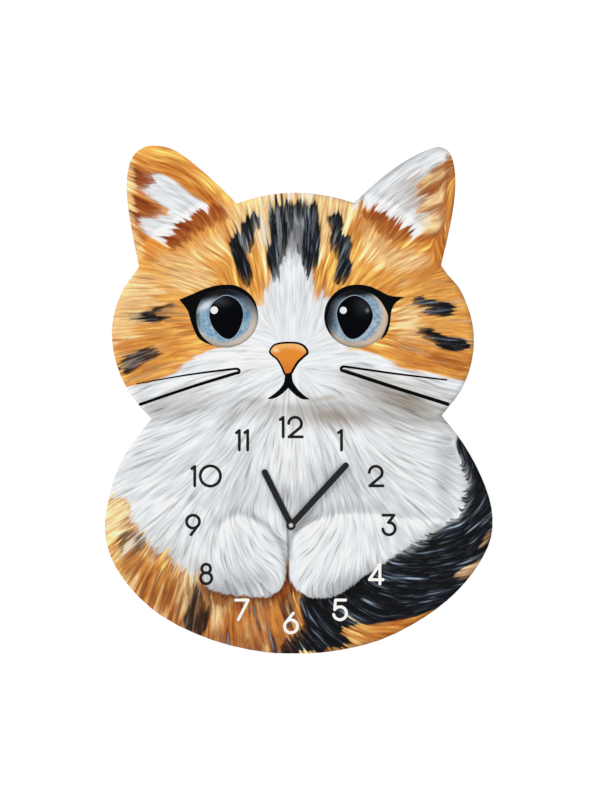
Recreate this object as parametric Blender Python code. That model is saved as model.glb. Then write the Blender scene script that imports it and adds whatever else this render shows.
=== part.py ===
"""A cat-shaped wall clock with a quartz movement, in metres, +Z up, its face looking along -Y.

The origin is on the axis of the hands, on the wall plane, which is the flat back of the movement.
The dial panel stands in front of the movement on an adhesive pad, and hangs from a saw-tooth hanger
on a block behind the head.  Positive turns about +Y are clockwise for someone who looks at the dial.
"""

import math

import bmesh
import bpy
from mathutils import Matrix, Vector

MM = 0.001

# ---- Driving dimensions, in millimetres -------------------------------------------------------

CASE_SIDE = 56.0            # the movement's square housing
CASE_DEPTH = 16.0
CASE_WALL = 1.2
COVER_THICKNESS = 1.5
BAY_TOP = -11.5             # the partition between the battery bay and the gear chamber
PARTITION = 1.1
CASE_CORNER = 2.0
CUT_BEYOND = 1.0            # how far a cutter runs past the faces that it opens
OVERLAP = 0.3               # how deep joined shapes reach into one another

PAD_THICKNESS = 0.9
PANEL_THICKNESS = 5.0
FACING_THICKNESS = 0.5
GLUE_LINE = 0.1

PANEL_HOLE_RADIUS = 3.7
BUSH_RADIUS = 3.5
BUSH_BORE_RADIUS = 2.65
HOUR_TUBE_RADIUS = 2.55
HOUR_TUBE_BORE_RADIUS = 1.83
MINUTE_TUBE_RADIUS = 1.75
MINUTE_BORE_RADIUS = 0.60
SECOND_ARBOR_RADIUS = 0.5

HOUR_HAND_LENGTH = 49.0
MINUTE_HAND_LENGTH = 66.4
HAND_WIDTH = 4.9
HAND_THICKNESS = 0.6
HAND_HUB_RADIUS = 3.85
HOURS_SHOWN = 11
MINUTES_SHOWN = 7.08

BATTERY_RADIUS = 7.1
BATTERY_LENGTH = 49.2
BATTERY_CENTRE = (-8.1, -19.2)      # y and z of the cell's axis
CONTACT_THICKNESS = 0.4

HANGER_CENTRE = (3.0, 226.0)        # x and z, over the clock's centre of gravity
HANGER_BLOCK = (64.0, 26.0)         # width and height
HANGER_RECESS = (42.0, 14.0, 3.6)   # width, height and depth of the space behind the teeth
HANGER_END_RECESS = 54.0            # width of the shallow seat for the strip's two ends
HANGER_HALF = 20.0                  # from the strip's middle to its joggle, and the screwed tab beyond
HANGER_TAB = 6.0
HANGER_JOGGLE = 1.6
HANGER_STRIP = (-4.0, 4.5, 0.8)     # lower edge, upper edge and thickness
HANGER_TEETH = 9
HANGER_TOOTH_PITCH = 3.6
HANGER_TOOTH_DEPTH = 2.2
SCREW_SHANK_RADIUS = 0.85
SCREW_HEAD_RADIUS = 2.1
SCREW_LENGTH = 9.0

KNOB_RADII = (5.0, 4.65)            # on the crests of its ribs and between them
KNOB_RIBS = 18
KNOB_STEM_RADIUS = 1.2
KNOB_WELL_RADIUS = 5.6

ROTOR_RADIUS = 2.4
PIVOT_RADIUS = 0.34
PIVOT_HOLE_RADIUS = 0.45
PIVOT_CUP_RADIUS = 1.3
COIL_RADIUS = 3.1
COIL_CORE_HALF_WIDTH = 1.5
COIL_HEIGHT = 22.0                  # z of the coil's axis
COIL_ENDS = (-7.6, 13.4)            # x of the bobbin's two flanges

# Distances from the wall plane, counted along -Y.
PAD_BACK = -(CASE_DEPTH + GLUE_LINE)
PAD_FRONT = PAD_BACK - PAD_THICKNESS
PANEL_BACK = PAD_FRONT - GLUE_LINE
PANEL_FRONT = PANEL_BACK - PANEL_THICKNESS
FACING_BACK = PANEL_FRONT - GLUE_LINE
FACING_FRONT = FACING_BACK - FACING_THICKNESS
HOUR_HAND_BACK = FACING_FRONT - 0.8
MINUTE_HAND_BACK = HOUR_HAND_BACK - 2.1
HOUR_TUBE_END = HOUR_HAND_BACK - HAND_THICKNESS - 0.3
MINUTE_TUBE_END = MINUTE_HAND_BACK - HAND_THICKNESS - 0.3

# The layers (front, back) that the pieces of the movement fill between the case and the cover.
MIDDLE_PLATE = (-10.0, -9.0)
PIVOT_ENDS = (-9.8, -1.9)
ROTOR_MAGNET = (-7.5, -5.0)
ROTOR_PINION = (-5.2, -2.7)
INTERMEDIATE_WHEEL = (-3.8, -3.1)
INTERMEDIATE_PINION = (-5.6, -3.5)
SECOND_WHEEL = (-5.2, -4.5)
SECOND_PINION = (-7.1, -4.9)
THIRD_WHEEL = (-6.6, -5.9)
THIRD_PINION = (-8.7, -6.3)
CENTRE_WHEEL = (-8.4, -7.7)
CENTRE_COLLAR = (-8.8, -8.1)
MINUTE_PINION = (-12.0, -10.4)
MINUTE_ARBOR_BACK = -7.3
MOTION_WHEEL = (-11.7, -10.9)
MOTION_PINION = (-13.6, -11.3)
MOTION_ARBOR = (-14.7, -9.2)
HOUR_WHEEL = (-13.4, -12.6)
KNOB_PINION = (-12.0, -10.6)
KNOB_STEM = (-12.6, -1.0)
KNOB_HEAD = (-2.3, -0.3)
STATOR = (-6.7, -5.8)
COIL_CORE = (-5.7, -4.8)
CIRCUIT = (-3.9, -2.9)

# The gears: numbers of teeth and modules, and the distances between the axes that follow.
PINION_TEETH = 6
TRAIN_MODULE = 0.30
SECOND_MODULE = 0.36
INTERMEDIATE_TEETH = 30
SECOND_TEETH = 36
THIRD_TEETH = 45
CENTRE_TEETH = 48
MINUTE_PINION_TEETH = 12
MOTION_TEETH = 36
MOTION_MODULE = 0.36
MOTION_PINION_TEETH = 10
HOUR_TEETH = 40

THIRD_DISTANCE = TRAIN_MODULE * (PINION_TEETH + THIRD_TEETH) / 2
CENTRE_MODULE = 2 * THIRD_DISTANCE / (PINION_TEETH + CENTRE_TEETH)
SECOND_DISTANCE = SECOND_MODULE * (PINION_TEETH + SECOND_TEETH) / 2
ROTOR_DISTANCE = TRAIN_MODULE * (PINION_TEETH + INTERMEDIATE_TEETH) / 2
MOTION_DISTANCE = MOTION_MODULE * (MINUTE_PINION_TEETH + MOTION_TEETH) / 2
HOUR_MODULE = 2 * MOTION_DISTANCE / (MOTION_PINION_TEETH + HOUR_TEETH)

THIRD_DIRECTION = math.radians(150)
INTERMEDIATE_DIRECTION = math.radians(50)
ROTOR_DIRECTION = math.radians(70)
MOTION_DIRECTION = math.radians(0)
KNOB_DIRECTION = math.radians(0)

ADDENDUM = 0.75             # heights of a tooth as shares of the module
DEDENDUM = 1.05
ROOT_SHARE = 0.45           # half widths of a tooth as shares of half the pitch
TIP_SHARE = 0.17

# The dial's outline in millimetres from the hand axis (x to the right, z up), clockwise from the
# left of the neck.  Each stretch is a smooth curve through its points, and stretches meet in corners.
LEFT_CHEEK = [
    (-110, 84), (-122, 97), (-135, 119), (-141, 143), (-140, 166), (-132, 187), (-125, 197),
    (-120, 204),
]
LEFT_EAR = [
    (-120, 204), (-125, 229), (-129, 254), (-129.5, 275), (-125, 291), (-116, 298.5), (-104, 299.5),
    (-90, 295), (-71, 280.5), (-56, 267), (-43, 254),
]
CROWN = [(-43, 254), (-23, 259.8), (3, 262.5), (29, 260), (50, 254.5)]
RIGHT_EAR = [
    (50, 254.5), (57, 261), (66, 269.2), (79, 280), (93, 289), (106, 295.5), (117, 298.5),
    (124.5, 295), (129, 283), (129.5, 262), (126, 238), (118.5, 205),
]
RIGHT_CHEEK = [
    (118.5, 205), (124, 197.5), (133, 187), (142, 165), (144.5, 146), (142, 126), (134, 106), (119, 86.5),
]
BODY = [
    (119, 86.5), (136, 64.5), (150, 39), (158.5, 13), (158, -10), (148.5, -30.5), (131, -52.5),
    (106, -72.5), (70, -91), (31, -100), (5, -101.5), (-21, -100.4), (-62, -91), (-102, -72),
    (-127, -49.5), (-142, -26), (-147, -3), (-144.5, 18), (-136, 46), (-123, 67), (-110, 84),
]


# ---- Small tools ------------------------------------------------------------------------------

def clear_scene():
    for obj in list(bpy.data.objects):
        bpy.data.objects.remove(obj, do_unlink=True)


def material(name, colour, roughness, metallic=0.0):
    mat = bpy.data.materials.get(name) or bpy.data.materials.new(name)
    mat.use_nodes = True
    shader = mat.node_tree.nodes["Principled BSDF"]
    shader.inputs["Base Color"].default_value = (*colour, 1.0)
    shader.inputs["Roughness"].default_value = roughness
    shader.inputs["Metallic"].default_value = metallic
    return mat


def pivot(name, x=0.0, z=0.0):
    """An empty on a turning axis, which the pieces of one body are parented to."""
    empty = bpy.data.objects.new(name, None)
    empty.location = (x * MM, 0.0, z * MM)
    bpy.context.scene.collection.objects.link(empty)
    return empty


def mesh_object(name, bm):
    bmesh.ops.recalc_face_normals(bm, faces=bm.faces)
    mesh = bpy.data.meshes.new(name)
    bm.to_mesh(mesh)
    bm.free()
    obj = bpy.data.objects.new(name, mesh)
    bpy.context.scene.collection.objects.link(obj)
    return obj


def prism(outline, front, back, at=(0.0, 0.0)):
    """A closed outline of (x, z) points, extruded along Y from front to back."""
    bm = bmesh.new()
    ring = [bm.verts.new(((x + at[0]) * MM, front * MM, (z + at[1]) * MM)) for x, z in outline]
    face = bm.faces.new(ring)
    grown = bmesh.ops.extrude_face_region(bm, geom=[face])
    moved = [v for v in grown["geom"] if isinstance(v, bmesh.types.BMVert)]
    bmesh.ops.translate(bm, verts=moved, vec=(0, (back - front) * MM, 0))
    return mesh_object("prism", bm)


def box(x, y, z):
    """A block between two numbers along each axis."""
    return prism([(x[0], z[0]), (x[1], z[0]), (x[1], z[1]), (x[0], z[1])], y[0], y[1])


def turned(profile, at=(0.0, 0.0), steps=24):
    """A closed profile of (radius, y) points, spun about the Y axis through `at`."""
    bm = bmesh.new()
    ring = [bm.verts.new((r * MM, y * MM, 0)) for r, y in profile]
    edges = [bm.edges.new((ring[i], ring[(i + 1) % len(ring)])) for i in range(len(ring))]
    bmesh.ops.spin(
        bm, geom=ring + edges, cent=(0, 0, 0), axis=(0, 1, 0), angle=math.tau, steps=steps,
        use_merge=True,
    )
    bmesh.ops.remove_doubles(bm, verts=bm.verts, dist=1e-7)
    bmesh.ops.translate(bm, verts=bm.verts, vec=(at[0] * MM, 0, at[1] * MM))
    return mesh_object("turned", bm)


def circle(radius, steps=24):
    angles = [math.tau * i / steps for i in range(steps)]
    return [(radius * math.cos(a), radius * math.sin(a)) for a in angles]


def cylinder(radius, front, back, at=(0.0, 0.0), steps=24):
    return prism(circle(radius, steps), front, back, at)


def tube(outer, inner, front, back, at=(0.0, 0.0), steps=24):
    profile = [(inner, front), (outer, front), (outer, back), (inner, back)]
    return turned(profile, at, steps)


def rounded_box(half_width, half_height, radius, corner_steps=5):
    """The outline of a rectangle with round corners, about the origin."""
    points = []
    for quarter, (sx, sz) in enumerate([(1, 1), (-1, 1), (-1, -1), (1, -1)]):
        cx, cz = sx * (half_width - radius), sz * (half_height - radius)
        for i in range(corner_steps + 1):
            a = (quarter + i / corner_steps) * math.pi / 2
            points.append((cx + radius * math.cos(a), cz + radius * math.sin(a)))
    return points


def finish_object(name, obj, mat, parent=None):
    """Names a solid, gives it its material and hangs it on the axis that it turns with."""
    obj.name = name
    obj.data.name = name
    obj.data.materials.clear()
    obj.data.materials.append(mat)
    obj.data.shade_smooth()
    obj.data.set_sharp_from_angle(angle=math.radians(35))
    if parent is not None:
        bpy.context.view_layer.update()
        obj.data.transform(Matrix.Translation(-Vector(parent.location)))
        obj.parent = parent
    return obj


def combined(base, joined=(), cut=()):
    """Joins solids to a base and cuts others out of it, with exact Booleans that are applied here."""
    steps = [("UNION", other) for other in joined] + [("DIFFERENCE", other) for other in cut]
    for operation, other in steps:
        modifier = base.modifiers.new(operation.lower(), "BOOLEAN")
        modifier.operation = operation
        modifier.solver = "EXACT"
        modifier.object = other
    graph = bpy.context.evaluated_depsgraph_get()
    mesh = bpy.data.meshes.new_from_object(base.evaluated_get(graph))
    base.modifiers.clear()
    base.data = mesh
    for _, other in steps:
        bpy.data.objects.remove(other, do_unlink=True)
    return base


def smooth_run(points, per_span):
    """Points along a centripetal curve through the given ones, without the last of them."""
    before = Vector(points[0]) * 2 - Vector(points[1])
    after = Vector(points[-1]) * 2 - Vector(points[-2])
    knots = [before] + [Vector(p) for p in points] + [after]
    out = []
    for a, b, c, d in zip(knots, knots[1:], knots[2:], knots[3:]):
        t1 = (b - a).length ** 0.5
        t2 = t1 + (c - b).length ** 0.5
        t3 = t2 + (d - c).length ** 0.5
        for i in range(per_span):
            t = t1 + (t2 - t1) * i / per_span
            ab = a * ((t1 - t) / t1) + b * (t / t1)
            bc = b * ((t2 - t) / (t2 - t1)) + c * ((t - t1) / (t2 - t1))
            cd = c * ((t3 - t) / (t3 - t2)) + d * ((t - t2) / (t3 - t2))
            abc = ab * ((t2 - t) / t2) + bc * (t / t2)
            bcd = bc * ((t3 - t) / (t3 - t1)) + cd * ((t - t1) / (t3 - t1))
            out.append(tuple(abc * ((t2 - t) / (t2 - t1)) + bcd * ((t - t1) / (t2 - t1))))
    return out


def polar(distance, direction, origin=(0.0, 0.0)):
    return (origin[0] + distance * math.cos(direction), origin[1] + distance * math.sin(direction))


# ---- Gears ------------------------------------------------------------------------------------

def gear_outline(teeth, module, phase):
    """A toothed outline about the origin, with the middle of one tooth at the angle `phase`."""
    pitch = math.tau / teeth
    root = module * (teeth / 2 - DEDENDUM)
    tip = module * (teeth / 2 + ADDENDUM)
    points = []
    for i in range(teeth):
        middle = phase + i * pitch
        corners = ((root, -ROOT_SHARE), (tip, -TIP_SHARE), (tip, TIP_SHARE), (root, ROOT_SHARE))
        for radius, share in corners:
            points.append(polar(radius, middle + share * pitch / 2))
    return points


def meshing_phase(teeth, phase, direction, other_teeth):
    """The phase of a gear that meshes with one of `teeth` and `phase`, lying in `direction` from it."""
    along = (direction - phase) / (math.tau / teeth)
    return direction + math.pi - (0.5 - along) * math.tau / other_teeth


def gear(teeth, module, phase, layer, at=(0.0, 0.0)):
    return prism(gear_outline(teeth, module, phase), *layer, at)


def through_hole(radius, layer, at=(0.0, 0.0), steps=24):
    """A round cutter that runs past both faces of a layer (front, back)."""
    return cylinder(radius, layer[0] - CUT_BEYOND, layer[1] + CUT_BEYOND, at, steps)


class Train:
    """Where each wheel of the movement turns, and the phase that puts its teeth in mesh at rest."""

    def __init__(self):
        self.third = polar(THIRD_DISTANCE, THIRD_DIRECTION)
        self.intermediate = polar(SECOND_DISTANCE, INTERMEDIATE_DIRECTION)
        self.rotor = polar(ROTOR_DISTANCE, ROTOR_DIRECTION, self.intermediate)
        self.motion = polar(MOTION_DISTANCE, MOTION_DIRECTION)
        self.knob = polar(MOTION_DISTANCE, KNOB_DIRECTION, self.motion)

        self.third_phase = meshing_phase(PINION_TEETH, 0.0, THIRD_DIRECTION, THIRD_TEETH)
        self.centre_phase = meshing_phase(
            PINION_TEETH, 0.0, THIRD_DIRECTION + math.pi, CENTRE_TEETH)
        self.intermediate_pinion_phase = meshing_phase(
            SECOND_TEETH, 0.0, INTERMEDIATE_DIRECTION, PINION_TEETH)
        self.rotor_phase = meshing_phase(INTERMEDIATE_TEETH, 0.0, ROTOR_DIRECTION, PINION_TEETH)
        self.motion_phase = meshing_phase(MINUTE_PINION_TEETH, 0.0, MOTION_DIRECTION, MOTION_TEETH)
        self.hour_phase = meshing_phase(
            MOTION_PINION_TEETH, 0.0, MOTION_DIRECTION + math.pi, HOUR_TEETH)
        self.knob_phase = meshing_phase(
            MOTION_TEETH, self.motion_phase, KNOB_DIRECTION, MINUTE_PINION_TEETH)


# ---- The dial and what hangs it ---------------------------------------------------------------

def dial_outline():
    runs = [(LEFT_CHEEK, 3), (LEFT_EAR, 3), (CROWN, 4), (RIGHT_EAR, 3), (RIGHT_CHEEK, 3), (BODY, 3)]
    return [point for points, per_span in runs for point in smooth_run(points, per_span)]


def make_dial(paint):
    outline = dial_outline()
    layers = (
        ("face_panel", PANEL_FRONT, PANEL_BACK, paint["board"]),
        ("printed_facing", FACING_FRONT, FACING_BACK, paint["print"]),
    )
    for name, front, back, mat in layers:
        hole = through_hole(PANEL_HOLE_RADIUS, (front, back), steps=32)
        finish_object(name, combined(prism(outline, front, back), cut=[hole]), mat)


def make_adhesive_pad(paint):
    layer = (PAD_FRONT, PAD_BACK)
    pad = prism(rounded_box(24, 18, 2, 3), *layer, at=(0, 4))
    finish_object("adhesive_pad", combined(pad, cut=[through_hole(6.0, layer)]), paint["foam"])


def make_hanger_block(paint):
    """A wooden block behind the head with a recess for the strip, and holes for its screws."""
    x, z = HANGER_CENTRE
    width, height, depth = HANGER_RECESS
    seat = HANGER_JOGGLE + 2 * HANGER_STRIP[2] - GLUE_LINE
    outline = rounded_box(HANGER_BLOCK[0] / 2, HANGER_BLOCK[1] / 2, 3, 4)
    block = prism(outline, PANEL_BACK + GLUE_LINE, 0.0, (x, z))
    heights = (z - height / 2, z + height / 2)
    recess = box((x - width / 2, x + width / 2), (-depth, CUT_BEYOND), heights)
    half_seat = HANGER_END_RECESS / 2
    end_recess = box((x - half_seat, x + half_seat), (-seat, CUT_BEYOND), heights)
    pilots = [
        cylinder(1.0, -seat - SCREW_LENGTH, -seat + OVERLAP, (screw_x, z), 16) for screw_x in screw_places()
    ]
    block = combined(block, cut=[recess, end_recess, *pilots])
    finish_object("hanger_block", block, paint["wood"])


def screw_places():
    """The x of the hanger's two screws."""
    reach = HANGER_HALF + HANGER_TAB / 2
    return (HANGER_CENTRE[0] - reach, HANGER_CENTRE[0] + reach)


def make_hanger_strip(paint):
    """A joggled steel strip: its ends lie in the block, and its toothed middle stands off the recess."""
    x, z = HANGER_CENTRE
    low, high, thickness = HANGER_STRIP
    end_front = -(HANGER_JOGGLE + 2 * thickness) + 2 * GLUE_LINE
    raised = end_front + HANGER_JOGGLE
    half, run = HANGER_HALF, HANGER_JOGGLE
    across = [
        (-half - HANGER_TAB, end_front), (-half, end_front), (-half + run, raised),
        (half - run, raised), (half, end_front), (half + HANGER_TAB, end_front),
    ]
    outline = across + [(px, py + thickness) for px, py in reversed(across)]
    strip = prism([(px, -py) for px, py in outline], 0.0, high - low)
    strip.data.transform(Matrix.Rotation(math.pi / 2, 4, "X"))
    strip.data.transform(Matrix.Translation((x * MM, 0, (z + low) * MM)))

    middle = (raised, raised + thickness)
    root = z + low
    saw = [(x - HANGER_TEETH * HANGER_TOOTH_PITCH / 2, root - CUT_BEYOND)]
    for i in range(HANGER_TEETH):
        left = x + (i - HANGER_TEETH / 2) * HANGER_TOOTH_PITCH
        saw += [(left, root - 0.2), (left + HANGER_TOOTH_PITCH / 2, root + HANGER_TOOTH_DEPTH)]
    right = x + HANGER_TEETH * HANGER_TOOTH_PITCH / 2
    saw += [(right, root - 0.2), (right, root - CUT_BEYOND)]
    teeth = prism(saw, middle[0] - CUT_BEYOND, middle[1] + CUT_BEYOND)
    holes = [cylinder(1.1, end_front - CUT_BEYOND, CUT_BEYOND, (px, z), 16) for px in screw_places()]
    finish_object("sawtooth_hanger", combined(strip, cut=[teeth, *holes]), paint["steel"])


def make_hanger_screws(paint):
    """Two slotted screws that hold the ends of the strip to the block."""
    seat = -(HANGER_JOGGLE + HANGER_STRIP[2]) + 3 * GLUE_LINE
    shank, head = SCREW_SHANK_RADIUS, SCREW_HEAD_RADIUS
    profile = [
        (0, seat - SCREW_LENGTH), (shank, seat - SCREW_LENGTH + 1.4), (shank, seat), (head, seat),
        (head - 0.1, seat + 0.6), (head - 1.0, seat + 1.1), (0, seat + 1.2),
    ]
    z = HANGER_CENTRE[1]
    for name, x in zip(("hanger_screw_left", "hanger_screw_right"), screw_places()):
        slot = box((x - 1.6, x + 1.6), (seat + 0.7, seat + 2), (z - 0.25, z + 0.25))
        screw = combined(turned(profile, (x, z), 20), cut=[slot])
        finish_object(name, screw, paint["steel"])


# ---- The movement's housing -------------------------------------------------------------------

def make_case(paint, train):
    """The front shell: gear chamber, battery bay, centre bush, posts and a pivot cup."""
    side = CASE_SIDE / 2
    inner = side - CASE_WALL
    floor = -CASE_DEPTH + CASE_WALL
    shell = prism(rounded_box(side, side, CASE_CORNER, 4), -CASE_DEPTH, 0.0)
    chamber = box((-inner, inner), (floor, CUT_BEYOND), (BAY_TOP + PARTITION, inner))
    bay = box((-inner, inner), (floor - 0.55, CUT_BEYOND), (-inner, BAY_TOP))
    lid_seat = box(
        (-side - 1, side + 1), (-COVER_THICKNESS - GLUE_LINE, CUT_BEYOND), (BAY_TOP - 0.1, side + 1))
    notch_heights = (BAY_TOP - CUT_BEYOND, BAY_TOP + PARTITION + CUT_BEYOND)
    strap_notches = [
        box(xs, (-6.2, CUT_BEYOND), notch_heights) for xs in ((-inner, -25.2), (25.2, inner))
    ]
    case = combined(shell, cut=[chamber, bay, lid_seat, *strap_notches])

    bush = cylinder(BUSH_RADIUS, FACING_FRONT + 0.2, floor + 0.5, steps=32)
    cup = cylinder(1.4, floor - OVERLAP, floor + 0.9, train.motion, 16)
    bore = through_hole(BUSH_BORE_RADIUS, (FACING_FRONT, floor), steps=32)
    cup_bore = cylinder(PIVOT_HOLE_RADIUS, floor - 0.1, floor + 2, train.motion, 16)
    case = combined(case, [bush, cup, *case_posts(inner, floor)], [bore, cup_bore])
    finish_object("movement_case", case, paint["case"])


def case_posts(inner, floor):
    """Four square posts in the corners of the gear chamber, which the middle plate rests on."""
    half = 1.6
    top = inner - half + 0.2
    low = BAY_TOP + PARTITION + half - 0.2
    layer = (floor - OVERLAP, MIDDLE_PLATE[0] - GLUE_LINE)
    places = [(x, z) for x in (2 * half - inner, inner - 2 * half) for z in (top, low)]
    return [box((x - half, x + half), layer, (z - half, z + half)) for x, z in places]


def make_rear_cover(paint, train):
    """The back lid of the gear chamber, with the knob's well and cups for the rear pivots."""
    side = CASE_SIDE / 2
    reach = side - GLUE_LINE
    plate = box((-reach, reach), (-COVER_THICKNESS, 0.0), (BAY_TOP, reach))
    well = cylinder(KNOB_WELL_RADIUS + 0.7, -3.4, -0.4, train.knob, 32)
    pivots = ((0.0, 0.0), train.third, train.intermediate, train.rotor)
    cups = [
        cylinder(PIVOT_CUP_RADIUS, -2.4, OVERLAP - COVER_THICKNESS, at, 16) for at in pivots
    ]
    bores = [cylinder(PIVOT_HOLE_RADIUS, -3.4, -1.3, at, 16) for at in pivots]
    well_hollow = cylinder(KNOB_WELL_RADIUS, -2.6, CUT_BEYOND, train.knob, 32)
    stem_hole = cylinder(KNOB_STEM_RADIUS + 0.15, -4.4, 0.0, train.knob, 20)
    clip_top = side - CASE_WALL - OVERLAP
    clips = [
        box((x - 3, x + 3), (-3.4, 0.4 - COVER_THICKNESS), (clip_top - 1.0, clip_top))
        for x in (-18, 18)
    ]
    cover = combined(plate, [well, *cups, *clips], [well_hollow, stem_hole, *bores])
    finish_object("movement_rear_cover", cover, paint["case"])


def make_middle_plate(paint, train):
    """The plate between the gear chamber's two halves, with a hole for each arbor."""
    inner = CASE_SIDE / 2 - CASE_WALL - 0.3
    plate = box((-inner, inner), MIDDLE_PLATE, (BAY_TOP + PARTITION + 0.2, inner))
    holes = [
        through_hole(2.45, MIDDLE_PLATE),
        through_hole(KNOB_STEM_RADIUS + 0.15, MIDDLE_PLATE, train.knob, 20),
    ]
    for at in (train.third, train.intermediate, train.rotor, train.motion):
        holes.append(through_hole(PIVOT_HOLE_RADIUS, MIDDLE_PLATE, at, 16))
    finish_object("middle_plate", combined(plate, cut=holes), paint["plate"])


# ---- The battery and its contacts -------------------------------------------------------------

def make_battery(paint):
    """An AA cell along X: its can, the turned-in ends and the positive cap at +X."""
    y, z = BATTERY_CENTRE
    half, radius = BATTERY_LENGTH / 2, BATTERY_RADIUS
    profile = [
        (0, -half), (radius - 1.6, -half), (radius - 1.4, -half + 0.3), (radius - 0.4, -half + 0.3),
        (radius, -half + 0.8), (radius, half - 0.8), (radius - 0.4, half - 0.3), (3.6, half - 0.3),
        (3.4, half - 0.6), (2.75, half - 0.6), (2.65, half + 0.9), (2.4, half + 1.1), (0, half + 1.1),
    ]
    cell = turned(profile, steps=32)
    cell.data.transform(Matrix.Rotation(-math.pi / 2, 4, "Z"))
    cell.data.transform(Matrix.Translation((0, y * MM, z * MM)))
    finish_object("battery", cell, paint["battery"], pivot("axis_battery"))


def make_contacts(paint):
    """Sheet-metal straps at the two ends of the bay, each with a tail up to the circuit board."""
    y, z = BATTERY_CENTRE
    kinds = (("battery_contact_positive", 1, 0.45), ("battery_contact_negative", -1, 1.0))
    for name, side, dimple in kinds:
        outer = side * (CASE_SIDE / 2 - CASE_WALL - 0.15)
        xs = tuple(sorted((outer, outer - side * CONTACT_THICKNESS)))
        plate = box(xs, (y - 4.0, y + 4.0), (z - 4.5, z + 4.5))
        tail = box(xs, (-6.0, -4.2), (z + 4.0, BAY_TOP + PARTITION + 3.2))
        bump = cylinder(2.2, 0, CONTACT_THICKNESS / 2 + dimple, steps=16)
        bump.data.transform(Matrix.Rotation(side * math.pi / 2, 4, "Z"))
        middle = outer - side * CONTACT_THICKNESS / 2
        bump.data.transform(Matrix.Translation((middle * MM, y * MM, z * MM)))
        finish_object(name, combined(plate, [tail, bump]), paint["steel"])


# ---- The electronics and the motor ------------------------------------------------------------

def make_circuit(paint):
    """An L-shaped board beside the gears, with the quartz crystal and the chip on its front."""
    inner = CASE_SIDE / 2 - CASE_WALL
    left, right = -inner + 0.4, inner - 0.4
    low = BAY_TOP + PARTITION + 0.3
    strip = low + 2.3
    outline = [(left, low), (right, low), (right, strip), (-14.6, strip), (-14.6, 16), (left, 16)]
    finish_object("circuit_board", prism(outline, *CIRCUIT), paint["circuit"])

    front = CIRCUIT[0]
    can_radius, can_length = 1.0, 6.0
    can = cylinder(can_radius, 0, can_length, steps=20)
    can.data.transform(Matrix.Rotation(math.pi / 2, 4, "X"))
    can.data.transform(Matrix.Translation((-22.0 * MM, (front - can_radius - 0.15) * MM, 3.0 * MM)))
    finish_object("quartz_crystal", can, paint["crystal"])

    top = front - GLUE_LINE
    dome = [
        (0, top - 1.2), (1.1, top - 1.1), (2.0, top - 0.75), (2.6, top - 0.2), (2.7, top), (0, top),
    ]
    finish_object("chip_blob", turned(dome, (-18.5, -3.5), 20), paint["epoxy"])


def make_stator(paint, train):
    """A flat horseshoe of lamination round the rotor, whose two arms hold the ends of the core."""
    outline = [
        (-12, 23.6), (-8.4, 23.6), (-8.4, 18), (-0.5, 15), (10.5, 15), (14.2, 18), (14.2, 23.6),
        (17.6, 23.6), (17.6, 15.5), (12.4, 7.4), (2, 7.4), (-12, 15.5),
    ]
    gap = through_hole(ROTOR_RADIUS + 0.5, STATOR, train.rotor, 28)
    stator = combined(prism(outline, *STATOR), cut=[gap])
    finish_object("stator", stator, paint["lamination"])


def along_x(solid):
    """Turns a solid about Y into one about X, on the coil's axis."""
    solid.data.transform(Matrix.Rotation(math.pi / 2, 4, "Z"))
    solid.data.transform(Matrix.Translation((0, sum(COIL_CORE) / 2 * MM, COIL_HEIGHT * MM)))
    return solid


def make_coil(paint):
    """The core strip, the bobbin that slides over it and the winding between its flanges."""
    half = COIL_CORE_HALF_WIDTH
    core = box((-11.8, 17.4), COIL_CORE, (COIL_HEIGHT - half, COIL_HEIGHT + half))
    finish_object("coil_core", core, paint["lamination"])

    left, right = COIL_ENDS
    hub, flange_radius, flange = 2.2, 3.25, 0.8
    profile = [
        (0, -right), (flange_radius, -right), (flange_radius, flange - right), (hub, flange - right),
        (hub, -left - flange), (flange_radius, -left - flange), (flange_radius, -left), (0, -left),
    ]
    slot = box(
        (left - CUT_BEYOND, right + CUT_BEYOND), (COIL_CORE[0] - 0.1, COIL_CORE[1] + 0.1),
        (COIL_HEIGHT - half - 0.1, COIL_HEIGHT + half + 0.1))
    bobbin = combined(along_x(turned(profile, steps=24)), cut=[slot])
    finish_object("coil_bobbin", bobbin, paint["plate"])
    margin = flange + GLUE_LINE
    winding = along_x(tube(COIL_RADIUS, hub + GLUE_LINE, margin - right, -left - margin))
    finish_object("coil_winding", winding, paint["copper"])


# ---- The wheels -------------------------------------------------------------------------------

def make_rotor(paint, train):
    magnet = cylinder(ROTOR_RADIUS, *ROTOR_MAGNET, train.rotor, 24)
    arbor = cylinder(PIVOT_RADIUS, *PIVOT_ENDS, train.rotor, 12)
    pinion = gear(PINION_TEETH, TRAIN_MODULE, train.rotor_phase, ROTOR_PINION, train.rotor)
    rotor = combined(magnet, [arbor, pinion])
    finish_object("rotor", rotor, paint["magnet"], pivot("axis_rotor", *train.rotor))


def make_intermediate_wheel(paint, train):
    at = train.intermediate
    phase = train.intermediate_pinion_phase
    arbor = cylinder(PIVOT_RADIUS, *PIVOT_ENDS, at, 16)
    wheel = gear(INTERMEDIATE_TEETH, TRAIN_MODULE, 0.0, INTERMEDIATE_WHEEL, at)
    pinion = gear(PINION_TEETH, SECOND_MODULE, phase, INTERMEDIATE_PINION, at)
    solid = combined(arbor, [wheel, pinion])
    finish_object("intermediate_wheel", solid, paint["wheel"], pivot("axis_intermediate", *at))


def make_third_wheel(paint, train):
    at = train.third
    arbor = cylinder(PIVOT_RADIUS, *PIVOT_ENDS, at, 16)
    wheel = gear(THIRD_TEETH, TRAIN_MODULE, train.third_phase, THIRD_WHEEL, at)
    pinion = gear(PINION_TEETH, CENTRE_MODULE, 0.0, THIRD_PINION, at)
    solid = combined(arbor, [wheel, pinion])
    finish_object("third_wheel", solid, paint["wheel"], pivot("axis_third", *at))


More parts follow.
